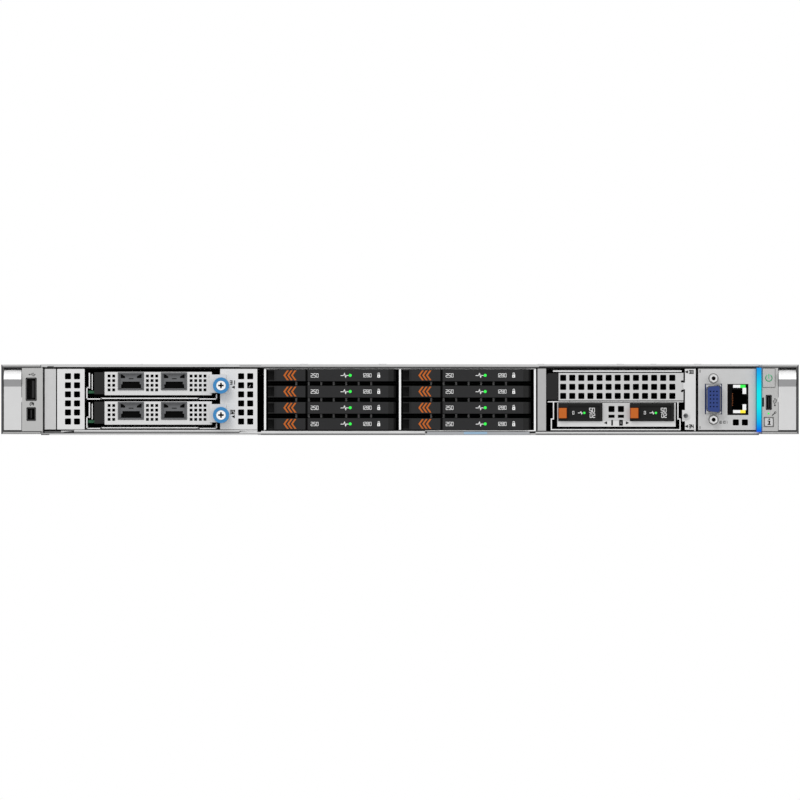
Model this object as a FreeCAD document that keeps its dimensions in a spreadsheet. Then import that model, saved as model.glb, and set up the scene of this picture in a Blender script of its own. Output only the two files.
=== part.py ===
"""A 1U rack server with front-facing cards, eight thin front drives and two rear power supplies.

Frame: X to the right seen from the front, Y to the rear, Z up, in millimetres.  The origin is on the
underside, midway across, in the plane where the two ears bear on the rack posts.  Every driving size
is a cell of the sheet "Sizes", and each piece is bound to those cells with expressions.
"""
import FreeCAD, Part
import os
import re
import Sketcher

Vector = FreeCAD.Vector

SIZES = [
    # overall
    ("case_w", 434.0, "outside width of the tray"),
    ("ear_w", 24.0, "how far an ear stands out beside the tray"),
    ("ear_span", "=case_w + 2*ear_w", "outer edge of one ear to the other, 19 inch rack"),
    ("case_top", 42.8, "height of the covers' upper face, one rack unit less clearance"),
    ("nose", 20.0, "rack plane to the face of the front panels"),
    ("case_rear", 751.5, "rack plane to the outside of the rear panel"),
    ("sheet_t", 1.2, "thickness of the tray and panels"),
    ("gap", 0.3, "running and seating clearance"),
    ("cover_t", 1.4, "thickness of the covers with their hem"),
    ("cover_split", 150.0, "rack plane to the joint between the two covers"),
    ("flange_drop", 7.0, "depth of the removable cover's side flanges"),
    ("pan_w", 58.0, "width of the pan pressed in the removable cover for its lever"),
    ("pan_deep", 6.4, "depth of the pan"),
    ("pan_front", 190.0, "rack plane to the front of the pan"),
    ("pan_rear", 302.0, "rack plane to the rear of the pan"),
    # perforation shared by the front panels
    ("hole", 3.7, "side of a square vent hole"),
    ("hole_pitch", 5.47, "spacing of the square vent holes"),
    ("panel_lo", 3.4, "lower edge of the front panels"),
    ("panel_hi", 40.0, "upper edge of the front panels"),
    # ears, control panels and rack latches
    ("ear_t", 2.0, "thickness of the ear's rack flange"),
    ("ear_leg", 46.0, "length of the ear's leg along the tray"),
    ("rack_pitch", "=ear_span - 16.9", "spacing of the two rack screw holes"),
    ("rack_hole_r", 3.4, "radius of a rack screw hole"),
    ("pod_face", 22.0, "rack plane to the face of a control panel"),
    ("pod_lo", 0.6, "lower edge of a control panel"),
    ("pod_hi", 42.6, "upper edge of a control panel"),
    ("pod_wall", 1.3, "wall beside the latch pocket"),
    ("latch_w", 10.6, "width of a rack latch"),
    ("latch_grip", 3.2, "how far the latch's grip ridge stands forward"),
    ("latch_pin_r", 1.2, "radius of a latch's hinge pin"),
    ("bar_w", 3.4, "width of the status light bar"),
    ("button_gap", 0.25, "gap round a push button"),
    ("power_w", 7.3, "width of the power button"),
    ("power_h", 11.2, "height of the power button"),
    ("id_side", 5.6, "side of the identification button"),
    # drive cage and drives
    ("bay_w", 80.4, "clear width of one drive column"),
    ("cage_t", 1.2, "thickness of the cage's upright walls"),
    ("shelf_t", 0.6, "thickness of the cage's floor and roof"),
    ("cage_rear", 103.0, "rack plane to the rear of the cage"),
    ("cage_lo", 2.3, "underside of the cage"),
    ("bay_slack", 2.7, "a drive column's clear width less its carrier's"),
    ("drive_w", "=bay_w - bay_slack", "width of a drive carrier"),
    ("drive_hgt", 7.0, "height of a drive"),
    ("drive_pitch", 9.79, "spacing of the drives"),
    ("drive_z", 3.2, "underside of the lowest drive"),
    ("drive_face", 21.0, "rack plane to the face of a drive carrier"),
    ("drive_rear", 97.0, "rack plane to the rear of a drive"),
    ("slider_x", 4.1, "carrier's left end to the release slider"),
    ("slider_w", 18.8, "width of the release slider"),
    ("slider_slot", 24.3, "carrier's left end to its fixed face"),
    ("lip_t", 0.8, "thickness of the lips that guide the slider"),
    # network cards
    ("bay_left", "=26.3 - case_w/2", "left edge of the card bay"),
    ("bay_right", "=108.3 - case_w/2", "right edge of the card bay"),
    ("panel_left", "=9.7 - case_w/2", "left edge of the left vent panel"),
    ("panel_right", "=130.7 - case_w/2", "right edge of the right vent panel"),
    ("card_z", 6.3, "lower edge of the lower card's bracket"),
    ("card_pitch", 17.83, "spacing of the cards"),
    ("card_hgt", 14.05, "height of a card's bracket"),
    ("card_x", "=bay_left + 12.1", "left edge of a card's bracket"),
    ("card_w", 64.8, "width of a card's bracket"),
    ("card_len", 115.0, "length of a card's board"),
    ("board_t", 1.6, "thickness of a circuit board"),
    ("cage_w", 15.4, "width of a transceiver cage"),
    ("cage_h", 10.4, "height of a transceiver cage"),
    ("cage_wall", 0.6, "wall of a transceiver cage"),
    ("cage_pitch", 26.1, "spacing of the transceiver cages"),
    ("small_hole", 1.76, "side of a card's vent hole"),
    ("small_pitch", 2.8, "spacing of a card's vent holes"),
    ("screw_r", 4.88, "radius of a card's thumbscrew"),
    # riser bay and boot module
    ("riser_left", "=case_w/2 - 133.8", "left edge of the riser bracket"),
    ("riser_right", "=case_w/2 - 38.2", "right edge of the riser bracket"),
    ("blank_x", "=riser_left + 12.7", "left edge of the perforated slot blank"),
    ("blank_right", "=riser_right - 7.4", "right edge of the slot blank"),
    ("guide_t", 0.65, "sheet of the slot guides"),
    ("riser_screw_x", "=blank_right + 1.4", "middle of the riser bracket's screw"),
    ("screw_tab_z", 11.7, "height of the riser bracket's screw"),
    ("blank_z", 20.9, "lower edge of the slot blank"),
    ("blank_hi", 37.6, "upper edge of the slot blank"),
    ("boot_x", "=riser_left + 11.9", "left edge of the boot module's bracket"),
    ("boot_right", "=riser_right - 12.1", "right edge of the boot module's bracket"),
    ("boot_lo", 5.1, "lower edge of the boot module's bracket"),
    ("boot_hi", 19.5, "upper edge of the boot module's bracket"),
    ("boot_w", 26.0, "width of a boot drive carrier"),
    ("boot_h", 10.4, "height of a boot drive carrier"),
    ("boot_z", 8.7, "underside of a boot drive carrier"),
    ("boot_a", "=boot_x + 1.0", "left edge of the first boot drive carrier"),
    ("boot_b", "=boot_right - 27.3", "left edge of the second boot drive carrier"),
    ("boot_len", 96.0, "length of a boot drive carrier"),
    ("boot_behind", 3.4, "a boot drive carrier's rear to its connector"),
    # front connectors
    ("io_left", "=riser_right + 1.5", "left edge of the connector plate"),
    ("io_right", "=case_w/2 - 1.9", "right edge of the connector plate"),
    ("video_x", "=io_left + 9.2", "centre of the video port"),
    ("video_z", 21.8, "centre of the video port"),
    ("standoff_pitch", 25.0, "spacing of the video port's hex nuts"),
    ("jack_x", "=io_right - 10.8", "centre of the network jack"),
    ("jack_z", 21.5, "centre of the network jack"),
    ("jack_w", 12.3, "width of the network jack"),
    ("jack_h", 18.4, "height of the network jack"),
    # pull-out tag
    ("tag_x", 47.3, "middle of the pull-out information tag"),
    ("tag_w", 62.0, "width of the information tag"),
    ("tag_len", 64.0, "length of the information tag"),
    ("tag_t", 0.6, "thickness of the information tag"),
    # inside
    ("fan_w", 40.0, "width of a fan"),
    ("fan_len", 56.0, "length of a fan"),
    ("fan_pitch", 52.5, "spacing of the fans"),
    ("fan_y", 130.0, "rack plane to the fans"),
    ("fan_bore_r", 18.8, "radius of a fan's duct"),
    ("fan_hub_r", 8.0, "radius of a fan's hub and motor mount"),
    ("fan_blades", 5, "blades of a fan"),
    ("fan_tilt", 50.0, "pitch of the blades, degrees"),
    ("fan_blade_y", 14.0, "fan's front to its blades"),
    ("fan_blade_len", 28.0, "length of a blade along its pitch"),
    ("board_z", 5.0, "underside of the main board"),
    ("board_y", 212.0, "front edge of the main board"),
    ("board_rear", 545.0, "rear edge of the main board"),
    ("cpu_x", 103.0, "midline to the middle of a heat sink"),
    ("cpu_y", 320.0, "rack plane to the front of a heat sink"),
    ("sink_w", 78.0, "width of a heat sink"),
    ("sink_len", 118.0, "length of a heat sink"),
    ("fin_pitch", 5.6, "spacing of the heat sink fins"),
    ("fin_t", 1.0, "thickness of a fin"),
    ("dimm_len", 133.4, "length of a memory module"),
    ("dimm_pitch", 7.7, "spacing of the memory modules"),
    # power supplies
    ("psu_w", 68.0, "width of a power supply"),
    ("psu_h", 38.6, "height of a power supply"),
    ("psu_len", 185.0, "length of a power supply"),
    ("psu_x", "=case_w/2 - 73", "midline to the inner side of a power supply"),
    ("psu_z", 1.5, "underside of a power supply"),
    ("psu_wall", 1.0, "wall of a power supply's case"),
    ("grip_out", 34.0, "how far a power supply's handle stands out"),
    # rail studs
    ("stud_first", 60.0, "rack plane to the first rail stud"),
    ("stud_pitch", 290.0, "spacing of the rail studs"),
    ("stud_z", 21.4, "height of the rail studs"),
    ("stud_r", 3.0, "radius of a rail stud's shank"),
    ("stud_head_r", 4.6, "radius of a rail stud's head"),
    ("stud_out", 5.0, "how far a rail stud stands out"),
]

doc = FreeCAD.newDocument("rack_server")
sheet = doc.addObject("Spreadsheet::Sheet", "Sizes")
for row, (alias, size, meaning) in enumerate(SIZES, start=1):
    sheet.set(f"A{row}", alias)
    sheet.set(f"B{row}", str(size))
    sheet.setAlias(f"B{row}", alias)
    sheet.set(f"C{row}", meaning)
doc.recompute()

ALIASES = {alias for alias, _, _ in SIZES}
NODES = {}
PLANES = {"top": "XY_Plane", "front": "XZ_Plane", "side": "YZ_Plane"}


# ---------------------------------------------------------------- helpers

def cells(expression):
    """The expression with each alias written as a cell of the sheet."""
    swap = lambda word: "Sizes." + word[0] if word[0] in ALIASES else word[0]
    return re.sub(r"[A-Za-z_][A-Za-z_0-9]*", swap, str(expression))


def number(expression):
    """The present value of an expression, for code that has to count or to aim."""
    return float(sheet.evalExpression(cells(expression)))


def bind(thing, **expressions):
    """Binds properties to expressions; two underscores stand for a dot."""
    for path, expression in expressions.items():
        thing.setExpression(path.replace("__", "."), cells(expression))
    return thing


def move(thing, x=0, y=0, z=0):
    """Binds where the thing stands."""
    return bind(thing, Placement__Base__x=x, Placement__Base__y=y, Placement__Base__z=z)


def node(thing, label):
    """Names a finished piece, which then gets its own file."""
    thing.Label = label
    NODES[label] = thing
    return thing


def box(x0, x1, y0, y1, z0, z1):
    """A block between two corners."""
    made = doc.addObject("Part::Box", "block")
    bind(made, Length=f"({x1}) - ({x0})", Width=f"({y1}) - ({y0})", Height=f"({z1}) - ({z0})")
    return move(made, x0, y0, z0)


def rod(axis, radius, x, y, z, length):
    """A cylinder from a point, along the named axis."""
    made = doc.addObject("Part::Cylinder", "rod")
    bind(made, Radius=radius, Height=length)
    turn = {"x": (Vector(0, 1, 0), 90), "y": (Vector(1, 0, 0), -90), "z": (Vector(0, 0, 1), 0)}
    made.Placement.Rotation = FreeCAD.Rotation(*turn[axis])
    return move(made, x, y, z)


def fuse(*things):
    """One solid made of several that meet."""
    made = doc.addObject("Part::MultiFuse", "joined")
    made.Shapes = list(things)
    made.Refine = True
    return made


def group(*things):
    """Separate solids that share a node."""
    made = doc.addObject("Part::Compound", "group")
    made.Links = list(things)
    return made


def cut(base, *tools):
    """The base with the tools taken away."""
    made = doc.addObject("Part::Cut", "cut")
    made.Base = base
    made.Tool = tools[0] if len(tools) == 1 else group(*tools)
    made.Refine = True
    return made


def polygon(u, v, radius, sides):
    """The corners of a regular outline round a centre, as expressions."""
    turns = [360.0 * (step + 0.5) / sides for step in range(sides)]
    return [(f"{u} + ({radius})*cos({turn} deg)", f"{v} + ({radius})*sin({turn} deg)")
            for turn in turns]


def rect(u0, v0, u1, v1):
    """The corners of a rectangle, as expressions."""
    return [(u0, v0), (u1, v0), (u1, v1), (u0, v1)]


def new_body():
    """An empty body."""
    return doc.addObject("PartDesign::Body", "body")


def sketch(body, view, loops, offset):
    """Closed outlines on an origin plane, moved along its axis, with every corner bound.

    A loop is a list of corners, or a (centre u, centre v, radius) circle."""
    made = body.newObject("Sketcher::SketchObject", "outline")
    role = PLANES[view]
    made.AttachmentSupport = [(next(f for f in body.Origin.OriginFeatures if f.Role == role), "")]
    made.MapMode = "FlatFace"
    sign = "-" if view == "front" else ""
    bind(made, AttachmentOffset__Base__z=f"{sign}({offset})")
    for loop in loops:
        first = made.GeometryCount
        if isinstance(loop, tuple):
            u, v, radius = loop
            centre = Vector(number(u), number(v), 0)
            made.addGeometry(Part.Circle(centre, Vector(0, 0, 1), number(radius)))
            pin_point(made, first, 3, u, v)
            made.addConstraint(Sketcher.Constraint("Radius", first, number(radius)))
            bind_constraint(made, radius)
            continue
        spots = [Vector(number(u), number(v), 0) for u, v in loop]
        for start, end in zip(spots, spots[1:] + spots[:1]):
            made.addGeometry(Part.LineSegment(start, end))
        for step in range(len(loop)):
            after = first + (step + 1) % len(loop)
            made.addConstraint(Sketcher.Constraint("Coincident", first + step, 2, after, 1))
        for step, (u, v) in enumerate(loop):
            pin_point(made, first + step, 1, u, v)
    return made


def bind_constraint(made, expression):
    """Binds the constraint that was added last."""
    made.setExpression(f"Constraints[{made.ConstraintCount - 1}]", cells(expression))


def pin_point(made, geometry, end, u, v):
    """Holds a point of a sketch at two expressions."""
    for kind, expression in (("DistanceX", u), ("DistanceY", v)):
        value = number(expression)
        made.addConstraint(Sketcher.Constraint(kind, -1, 1, geometry, end, value))
        bind_constraint(made, expression)


def pad(body, view, loops, lo, hi):
    """Adds the outlines, from lo to hi along the view's axis."""
    start = hi if view == "front" else lo
    profile = sketch(body, view, loops, start)
    made = body.newObject("PartDesign::Pad", "pad")
    made.Profile = profile
    bind(made, Length=f"({hi}) - ({lo})")
    return made


def pocket(body, view, loops, lo, hi):
    """Takes the outlines away, from lo to hi along the view's axis."""
    start = lo if view == "front" else hi
    profile = sketch(body, view, loops, start)
    made = body.newObject("PartDesign::Pocket", "pocket")
    made.Profile = profile
    made.Type = "Length"
    bind(made, Length=f"({hi}) - ({lo})")
    return made


def repeat(body, feature, count_u, pitch_u, count_v=1, pitch_v="1"):
    """Repeats a feature along its sketch's two axes."""
    made = body.newObject("PartDesign::LinearPattern", "pattern")
    made.Originals = [feature]
    profile = feature.Profile[0]
    made.Direction = (profile, ["H_Axis"])
    made.Direction2 = (profile, ["V_Axis"])
    bind(made, Occurrences=count_u, Occurrences2=count_v)
    bind(made, Length=f"({pitch_u}) * max({count_u} - 1; 1)")
    bind(made, Length2=f"({pitch_v}) * max({count_v} - 1; 1)")
    body.Tip = made
    return made


def soften(body, radius, axis, keep):
    """Rounds the body's straight edges along an axis whose middles pass the test."""
    doc.recompute()
    tip = body.Tip
    names = []
    for count, edge in enumerate(tip.Shape.Edges, start=1):
        if edge.Curve.TypeId != "Part::GeomLine":
            continue
        along = (edge.Vertexes[-1].Point - edge.Vertexes[0].Point).normalize()
        if abs(abs(along.dot(axis)) - 1) < 1e-6 and keep(edge.CenterOfMass):
            names.append(f"Edge{count}")
    made = body.newObject("PartDesign::Fillet", "rounding")
    made.Base = (tip, names)
    bind(made, Radius=radius)
    return made


X_AXIS, Y_AXIS, Z_AXIS = Vector(1, 0, 0), Vector(0, 1, 0), Vector(0, 0, 1)

# ---------------------------------------------------------------- sheet-metal case

def chassis_tray():
    """The folded tray: floor and two sides from one sheet, with an outward hem along each top edge."""
    body = new_body()
    half, wall_top = "case_w/2", "case_top - cover_t - gap"
    profile = [
        (f"-{half}", 0), (half, 0), (half, wall_top), (f"{half} - sheet_t", wall_top),
        (f"{half} - sheet_t", "sheet_t"), (f"sheet_t - {half}", "sheet_t"),
        (f"sheet_t - {half}", wall_top), (f"-{half}", wall_top),
    ]
    pad(body, "front", [profile], "-nose", "case_rear")
    tag_slot = rect("tag_x - tag_w/2 + 16", "-nose - 1", "tag_x + tag_w/2 - 16", "-nose + 5")
    pocket(body, "top", [tag_slot], "-1", "sheet_t + 1")
    return node(body, "chassis_tray")


def drive_bay_cover():
    """The fixed front cover over the drives and cards, with its front edge hemmed down."""
    body = new_body()
    under = "case_top - cover_t"
    pad(body, "side", [[
        ("-nose", f"{under} - 0.2"), ("2.0 - nose", f"{under} - 0.2"), ("2.0 - nose", under),
        ("cover_split - gap", under), ("cover_split - gap", "case_top"), ("-nose", "case_top"),
    ]], "-case_w/2", "case_w/2")
    ribs = pad(body, "top", [rect("-case_w/2 + 30", 20, "-case_w/2 + 34", "cover_split - 25")],
               "case_top - 2", "case_top - cover_t + 0.1")
    repeat(body, ribs, 8, "(case_w - 64)/7")
    return node(body, "drive_bay_cover")


def rear_panel():
    """The perforated rear wall between the power supplies, with a folded wall along each bay."""
    body = new_body()
    half, top = "psu_x - 0.5", "case_top - cover_t - 2*gap"
    pad(body, "front", [rect(f"-({half})", "sheet_t", half, top)], "case_rear - sheet_t", "case_rear")
    for left, right in ((f"-({half})", f"1 - ({half})"), (f"{half} - 1", half)):
        pad(body, "top", [rect(left, "case_rear - psu_len - 10", right, "case_rear - sheet_t + 0.1")],
            "sheet_t", f"{top} - 1")
    cell = rect("8 - psu_x", "9", "17 - psu_x", "19")
    first = pocket(body, "front", [cell], "case_rear - sheet_t - 1", "case_rear + 1")
    repeat(body, first, 12, "(2*psu_x - 25)/11", 2, "14.5")
    return node(body, "rear_panel")


COVER_Y0, PAN_Z = "cover_split + gap", "case_top - pan_deep"
LEVER_Y, LEVER_Z = "pan_rear - 5", f"{PAN_Z} + 2.6"


def top_cover():
    """The removable cover: a plate with side flanges and a pressed pan for its lever."""
    body = new_body()
    under, inner = "case_top - cover_t", "case_w/2 - sheet_t - gap"
    drop = f"{under} - flange_drop"
    pad(body, "front", [[
        ("-case_w/2", under), (f"-({inner})", under), (f"-({inner})", drop),
        (f"1 - ({inner})", drop), (f"1 - ({inner})", under), (f"{inner} - 1", under),
        (f"{inner} - 1", drop), (inner, drop), (inner, under), ("case_w/2", under),
        ("case_w/2", "case_top"), ("-case_w/2", "case_top"),
    ]], COVER_Y0, "case_rear")
    # the flanges stop short of the rear openings
    for side in ("-1", "1"):
        pocket(body, "top", [rect(f"{side}*({inner}) - 2", "case_rear - psu_len - 20",
                                  f"{side}*({inner}) + 2", "case_rear + 1")], f"{drop} - 1", under)
    pad(body, "top", [rect("-pan_w/2 - 1", "pan_front - 1", "pan_w/2 + 1", "pan_rear + 1")],
        f"{PAN_Z} - 1", f"{under} + 0.5")
    pocket(body, "top", [rect("-pan_w/2", "pan_front", "pan_w/2", "pan_rear")], PAN_Z, "case_top + 1")
    for start, end in (("-pan_w/2 - 0.5", "-pan_w/2 + 2.6"), ("pan_w/2 - 2.6", "pan_w/2 + 0.5")):
        pad(body, "side", [polygon(LEVER_Y, LEVER_Z, "latch_pin_r", 8)], start, end)
    dimple = pocket(body, "top", [rect("-190", "cover_split + 60", "-150", "cover_split + 66")],
                    "case_top - 0.6", "case_top + 1")
    repeat(body, dimple, 2, "340", 6, "9")
    return node(body, "top_cover")


def cover_latch():
    """The lever that lies in the cover's pan and draws the cover back when lifted."""
    body = new_body()
    half, front, high = "(pan_w/2 - 1)", "pan_front + 18", "case_top - 0.8"
    pad(body, "side", [[
        (front, f"{high} - 2"), (f"{front} + 3", high), (f"{LEVER_Y} + 0.4", high),
        (f"{LEVER_Y} + 2.4", f"{high} - 1.6"), (f"{LEVER_Y} + 2.4", f"{LEVER_Z} - 0.8"),
        (f"{LEVER_Y} + 1", f"{LEVER_Z} - 2.3"), (f"{LEVER_Y} - 1", f"{LEVER_Z} - 2.3"),
        (f"{LEVER_Y} - 2.4", f"{LEVER_Z} - 0.8"), (f"{LEVER_Y} - 2.8", f"{high} - 2.2"),
        (f"{front} + 4", f"{high} - 2.2"), (f"{front} + 2", f"{high} - 3.6"),
    ]], f"-{half}", half)
    pocket(body, "side", [(LEVER_Y, LEVER_Z, "latch_pin_r + 0.06")], "-pan_w/2", "pan_w/2")
    pocket(body, "top", [rect("-10", f"{front} + 14", "10", f"{front} + 34")],
           f"{high} - 3", f"{high} + 1")
    for side in ("-1", "1"):
        corner = [
            (f"{side}*({half} - 4)", f"{front} - 0.1"), (f"{side}*({half} + 0.1)", f"{front} - 0.1"),
            (f"{side}*({half} + 0.1)", f"{front} + 4"),
        ]
        pocket(body, "top", [corner], PAN_Z, "case_top")
    return node(body, "cover_latch")


def rail_studs():
    """Three headed studs on each side, on which the slide rails hook."""
    studs = []
    for side in (-1, 1):
        for place in range(3):
            body = new_body()
            pad(body, "side", [polygon("0", "0", "stud_r", 6)], "0", "stud_out - 1.4")
            pad(body, "side", [polygon("0", "0", "stud_head_r", 10)], "stud_out - 1.5", "stud_out")
            move(body, f"{side}*case_w/2", f"stud_first + {place}*stud_pitch", "stud_z")
            if side < 0:
                body.Placement.Rotation = FreeCAD.Rotation(Z_AXIS, 180)
            studs.append(body)
    return node(group(*studs), "rail_studs")


# ---------------------------------------------------------------- ears, control panels, latches

POD_INNER = "case_w/2 + gap"
LATCH_X0 = "ear_span/2 - pod_wall - gap - latch_w"
PIVOT_Y, PIVOT_Z = "3.4 - pod_face", "pod_hi - 5.6"
HOOK_X0 = f"{LATCH_X0} + latch_w - 2.4"


def mirrored(thing):
    """The left-hand twin of a right-hand piece."""
    made = doc.addObject("Part::Mirroring", "twin")
    made.Source = thing
    made.Normal = X_AXIS
    return made


def ear(side, label):
    """A pressed ear: the rack flange with its screw hole and hook slot, and a leg along the tray."""
    body = new_body()
    inside, outside, leg = "case_w/2", "ear_span/2", "case_w/2 + 1.6"
    pad(body, "top", [[
        (inside, "-ear_t"), (outside, "-ear_t"), (outside, "0"), (leg, "0"), (leg, "ear_leg"),
        (inside, "ear_leg"),
    ]], "pod_lo + 1", "pod_hi - 1")
    pocket(body, "front", [("rack_pitch/2", "21.4", "rack_hole_r")], "-ear_t - 1", "1")
    slot = rect(f"{HOOK_X0} - 0.4", f"{PIVOT_Z} - 18.6", f"{HOOK_X0} + 2.4", f"{PIVOT_Z} - 1")
    pocket(body, "front", [slot], "-ear_t - 1", "1")
    return node(mirrored(body) if side < 0 else body, label)


def around(u, v, wide, high, extra="0"):
    """A rectangle of that width and height round a centre, grown by extra on each side."""
    return rect(f"{u} - ({wide})/2 - ({extra})", f"{v} - ({high})/2 - ({extra})",
                f"{u} + ({wide})/2 + ({extra})", f"{v} + ({high})/2 + ({extra})")


def pod(openings):
    """A moulded control panel: a frame round the latch, its hinge pin, and a hollow behind the face.

    The openings are outlines in the face, drawn for the right-hand side."""
    body = new_body()
    front, back, outer = "-pod_face", "-ear_t - 0.1", "ear_span/2"
    pad(body, "front", [rect(POD_INNER, "pod_lo", outer, "pod_hi")], front, back)
    room = rect(f"{LATCH_X0} - gap", "pod_lo + 1.1", f"{outer} - pod_wall", "pod_hi - 1.4")
    pocket(body, "front", [room], f"{front} - 1", f"{back} + 1")
    hollow = rect(f"{POD_INNER} - 1", "pod_lo + 1.6", f"{LATCH_X0} - gap - 1", "pod_hi - 1.5")
    pocket(body, "front", [hollow], f"{front} + 2", f"{back} + 1")
    for low, high in (("pod_lo + 1.1", "pod_lo + 1.8"), ("pod_hi - 2.1", "pod_hi - 1.4")):
        groove = rect(f"{POD_INNER} - 1", low, f"{LATCH_X0} - gap + 0.5", high)
        pocket(body, "front", [groove], f"{front} - 1", f"{front} + 1.2")
    for outline in openings:
        pocket(body, "front", [outline], f"{front} - 1", f"{front} + 2.5")
    pad(body, "side", [polygon(PIVOT_Y, PIVOT_Z, "latch_pin_r", 8)], f"{LATCH_X0} - gap - 0.6",
        f"{outer} - pod_wall + 0.6")
    return body


PORT_X = "case_w/2 + 5.9"
USB_A = (PORT_X, "27.7", "6.2", "13.6")
MINI_DISPLAY = (PORT_X, "12.7", "5.2", "7.8")
USB_C = (PORT_X, "19.75", "3.2", "8.6")
ID_BUTTON = (PORT_X, "7.9", "id_side", "id_side")
POWER_BUTTON = ("case_w/2 + 2.3 + power_w/2", "pod_hi - 2.4 - power_h/2", "power_w", "power_h")


def control_panels():
    """The left pod with its two sockets, and the right pod with its socket and buttons."""
    left = pod([around(*USB_A, "0.15"), around(*MINI_DISPLAY, "0.15")])
    pad(left, "front", [rect(f"{POD_INNER} - 1.3", "pod_lo + 1.8", f"{POD_INNER} + 0.5",
                             "pod_hi - 2.1")], "-pod_face", "-nose - gap")
    node(mirrored(left), "left_control_panel")
    right = pod([
        around(*USB_C, "0.15"), around(*ID_BUTTON, "button_gap"), around(*POWER_BUTTON, "button_gap"),
    ])
    pocket(right, "front", [rect(f"{POD_INNER} - 1", "pod_lo - 1", f"{POD_INNER} + 1.6",
                                 "pod_hi + 1")], "-pod_face - 1", "-nose")
    node(right, "right_control_panel")


def rack_latch(side, label):
    """The cast lever over an ear: a flat finger plate, a grip ridge near the top and a rack hook."""
    body = new_body()
    face, low, high = "-pod_face", "pod_lo + 2.4", "pod_hi - 3.2"
    pad(body, "side", [[
        (face, low), (face, "29.3"), (f"{face} - latch_grip", "33.7"), (f"{face} - 1.6", "36.6"),
        (f"{face} + 2.4", high), ("-7.6", high), ("-7.6", f"{PIVOT_Z} - 3.5"),
        (f"{face} + 5", "30.5"), (f"{face} + 1.8", "28.2"), (f"{face} + 1.8", low),
    ]], LATCH_X0, f"{LATCH_X0} + latch_w")
    pad(body, "side", [[
        ("-12", f"{PIVOT_Z} - 2.6"), ("-12", f"{PIVOT_Z} - 5"), ("0.6", f"{PIVOT_Z} - 5"),
        ("0.6", f"{PIVOT_Z} - 7.5"), ("4.8", f"{PIVOT_Z} - 4.6"), ("4.8", f"{PIVOT_Z} - 2.6"),
    ]], HOOK_X0, f"{HOOK_X0} + 2")
    pocket(body, "side", [(PIVOT_Y, PIVOT_Z, "latch_pin_r + 0.06")], f"{LATCH_X0} - 1",
           f"{LATCH_X0} + latch_w + 1")
    return node(mirrored(body) if side < 0 else body, label)


def push_button(label, outline, lift, round_corners):
    """A button cap with a retaining flange behind the panel's face."""
    u, v, wide, high = outline
    body = new_body()
    pad(body, "front", [around(u, v, wide, high)], f"-pod_face - {lift}", "-pod_face + 3.3")
    pad(body, "front", [around(u, v, wide, high, "0.5")], "-pod_face + 2.3", "-pod_face + 3.3")
    if round_corners:
        soften(body, 0.8, Y_AXIS, lambda at: at.y < number("-pod_face + 1.6"))
    return node(body, label)


def port_shell(u, v, wide, high, depth, wall, tongue_u, tongue_wide, tongue_high):
    """A socket's metal shell with its tongue, standing in a panel opening."""
    body = new_body()
    face = "-pod_face + 0.2"
    pad(body, "front", [around(u, v, wide, high)], face, f"{face} + {depth}")
    mouth = around(u, v, wide, high, f"-{wall}")
    pocket(body, "front", [mouth], f"{face} - 1", f"{face} + {depth} - 1")
    pad(body, "front", [around(tongue_u, v, tongue_wide, tongue_high)], f"{face} + 1",
        f"{face} + {depth} - 0.5")
    return body


def small_ports():
    """The three data sockets in the control panels."""
    u, v, wide, high = USB_A
    usb = port_shell(u, v, wide, high, 15, "0.45", f"{u} - 1.2", "1.5", "10.4")
    node(mirrored(usb), "usb_port")
    u, v, wide, high = MINI_DISPLAY
    display = port_shell(u, v, wide, high, 12, "0.4", u, "0.8", "5.0")
    node(mirrored(display), "display_port")
    u, v, wide, high = USB_C
    slim = port_shell(u, v, wide, high, 9, "0.35", u, "0.7", "6.4")
    node(slim, "usb_c_port")


def status_light_bar():
    """The upright light guide beside the right control panel, with a rounded front."""
    body = new_body()
    right = f"{POD_INNER} + 1.4"
    pad(body, "front", [rect(f"{right} - bar_w", "pod_lo + 1.3", right, "pod_hi - 1.9")],
        "-pod_face - 0.6", "-nose - 0.2")
    soften(body, 0.9, Z_AXIS, lambda at: at.y < number("-pod_face"))
    return node(body, "status_light_bar")

# ---------------------------------------------------------------- drive cage and drives

def drive_cage():
    """The cage: three uprights, a floor, a roof and vented shelves between the drives."""
    outer, front, rear = "bay_w + cage_t*1.5", "0.5 - nose", "cage_rear"
    roof = "drive_z + 3*drive_pitch + drive_hgt + gap"
    pieces = [
        box(f"-({outer})", outer, front, rear, "cage_lo", "cage_lo + shelf_t"),
        box(f"-({outer})", outer, front, rear, roof, f"{roof} + shelf_t"),
        box(f"-({outer})", f"cage_t - ({outer})", front, rear, "cage_lo", f"{roof} + shelf_t"),
        box(f"{outer} - cage_t", outer, front, rear, "cage_lo", f"{roof} + shelf_t"),
        box("-cage_t/2", "cage_t/2", front, rear, "cage_lo", f"{roof} + shelf_t"),
    ]
    for shelf in range(1, 4):
        middle = f"drive_z + {shelf}*drive_pitch - (drive_pitch - drive_hgt)/2"
        for left in ("-bay_w - cage_t/2 - 0.1", "cage_t/2 - 0.1"):
            pieces.append(box(left, f"{left} + bay_w + 0.2", "4 - nose", rear,
                              f"{middle} - shelf_t/2", f"{middle} + shelf_t/2"))
            for post in range(7):
                at = f"{left} + 17.8 + {post}*7.55"
                pieces.append(box(at, f"{at} + 1.1", "3 - nose", "4 - nose",
                                  f"{middle} - 1.1", f"{middle} + 1.1"))
    return node(fuse(*pieces), "drive_cage")


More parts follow.
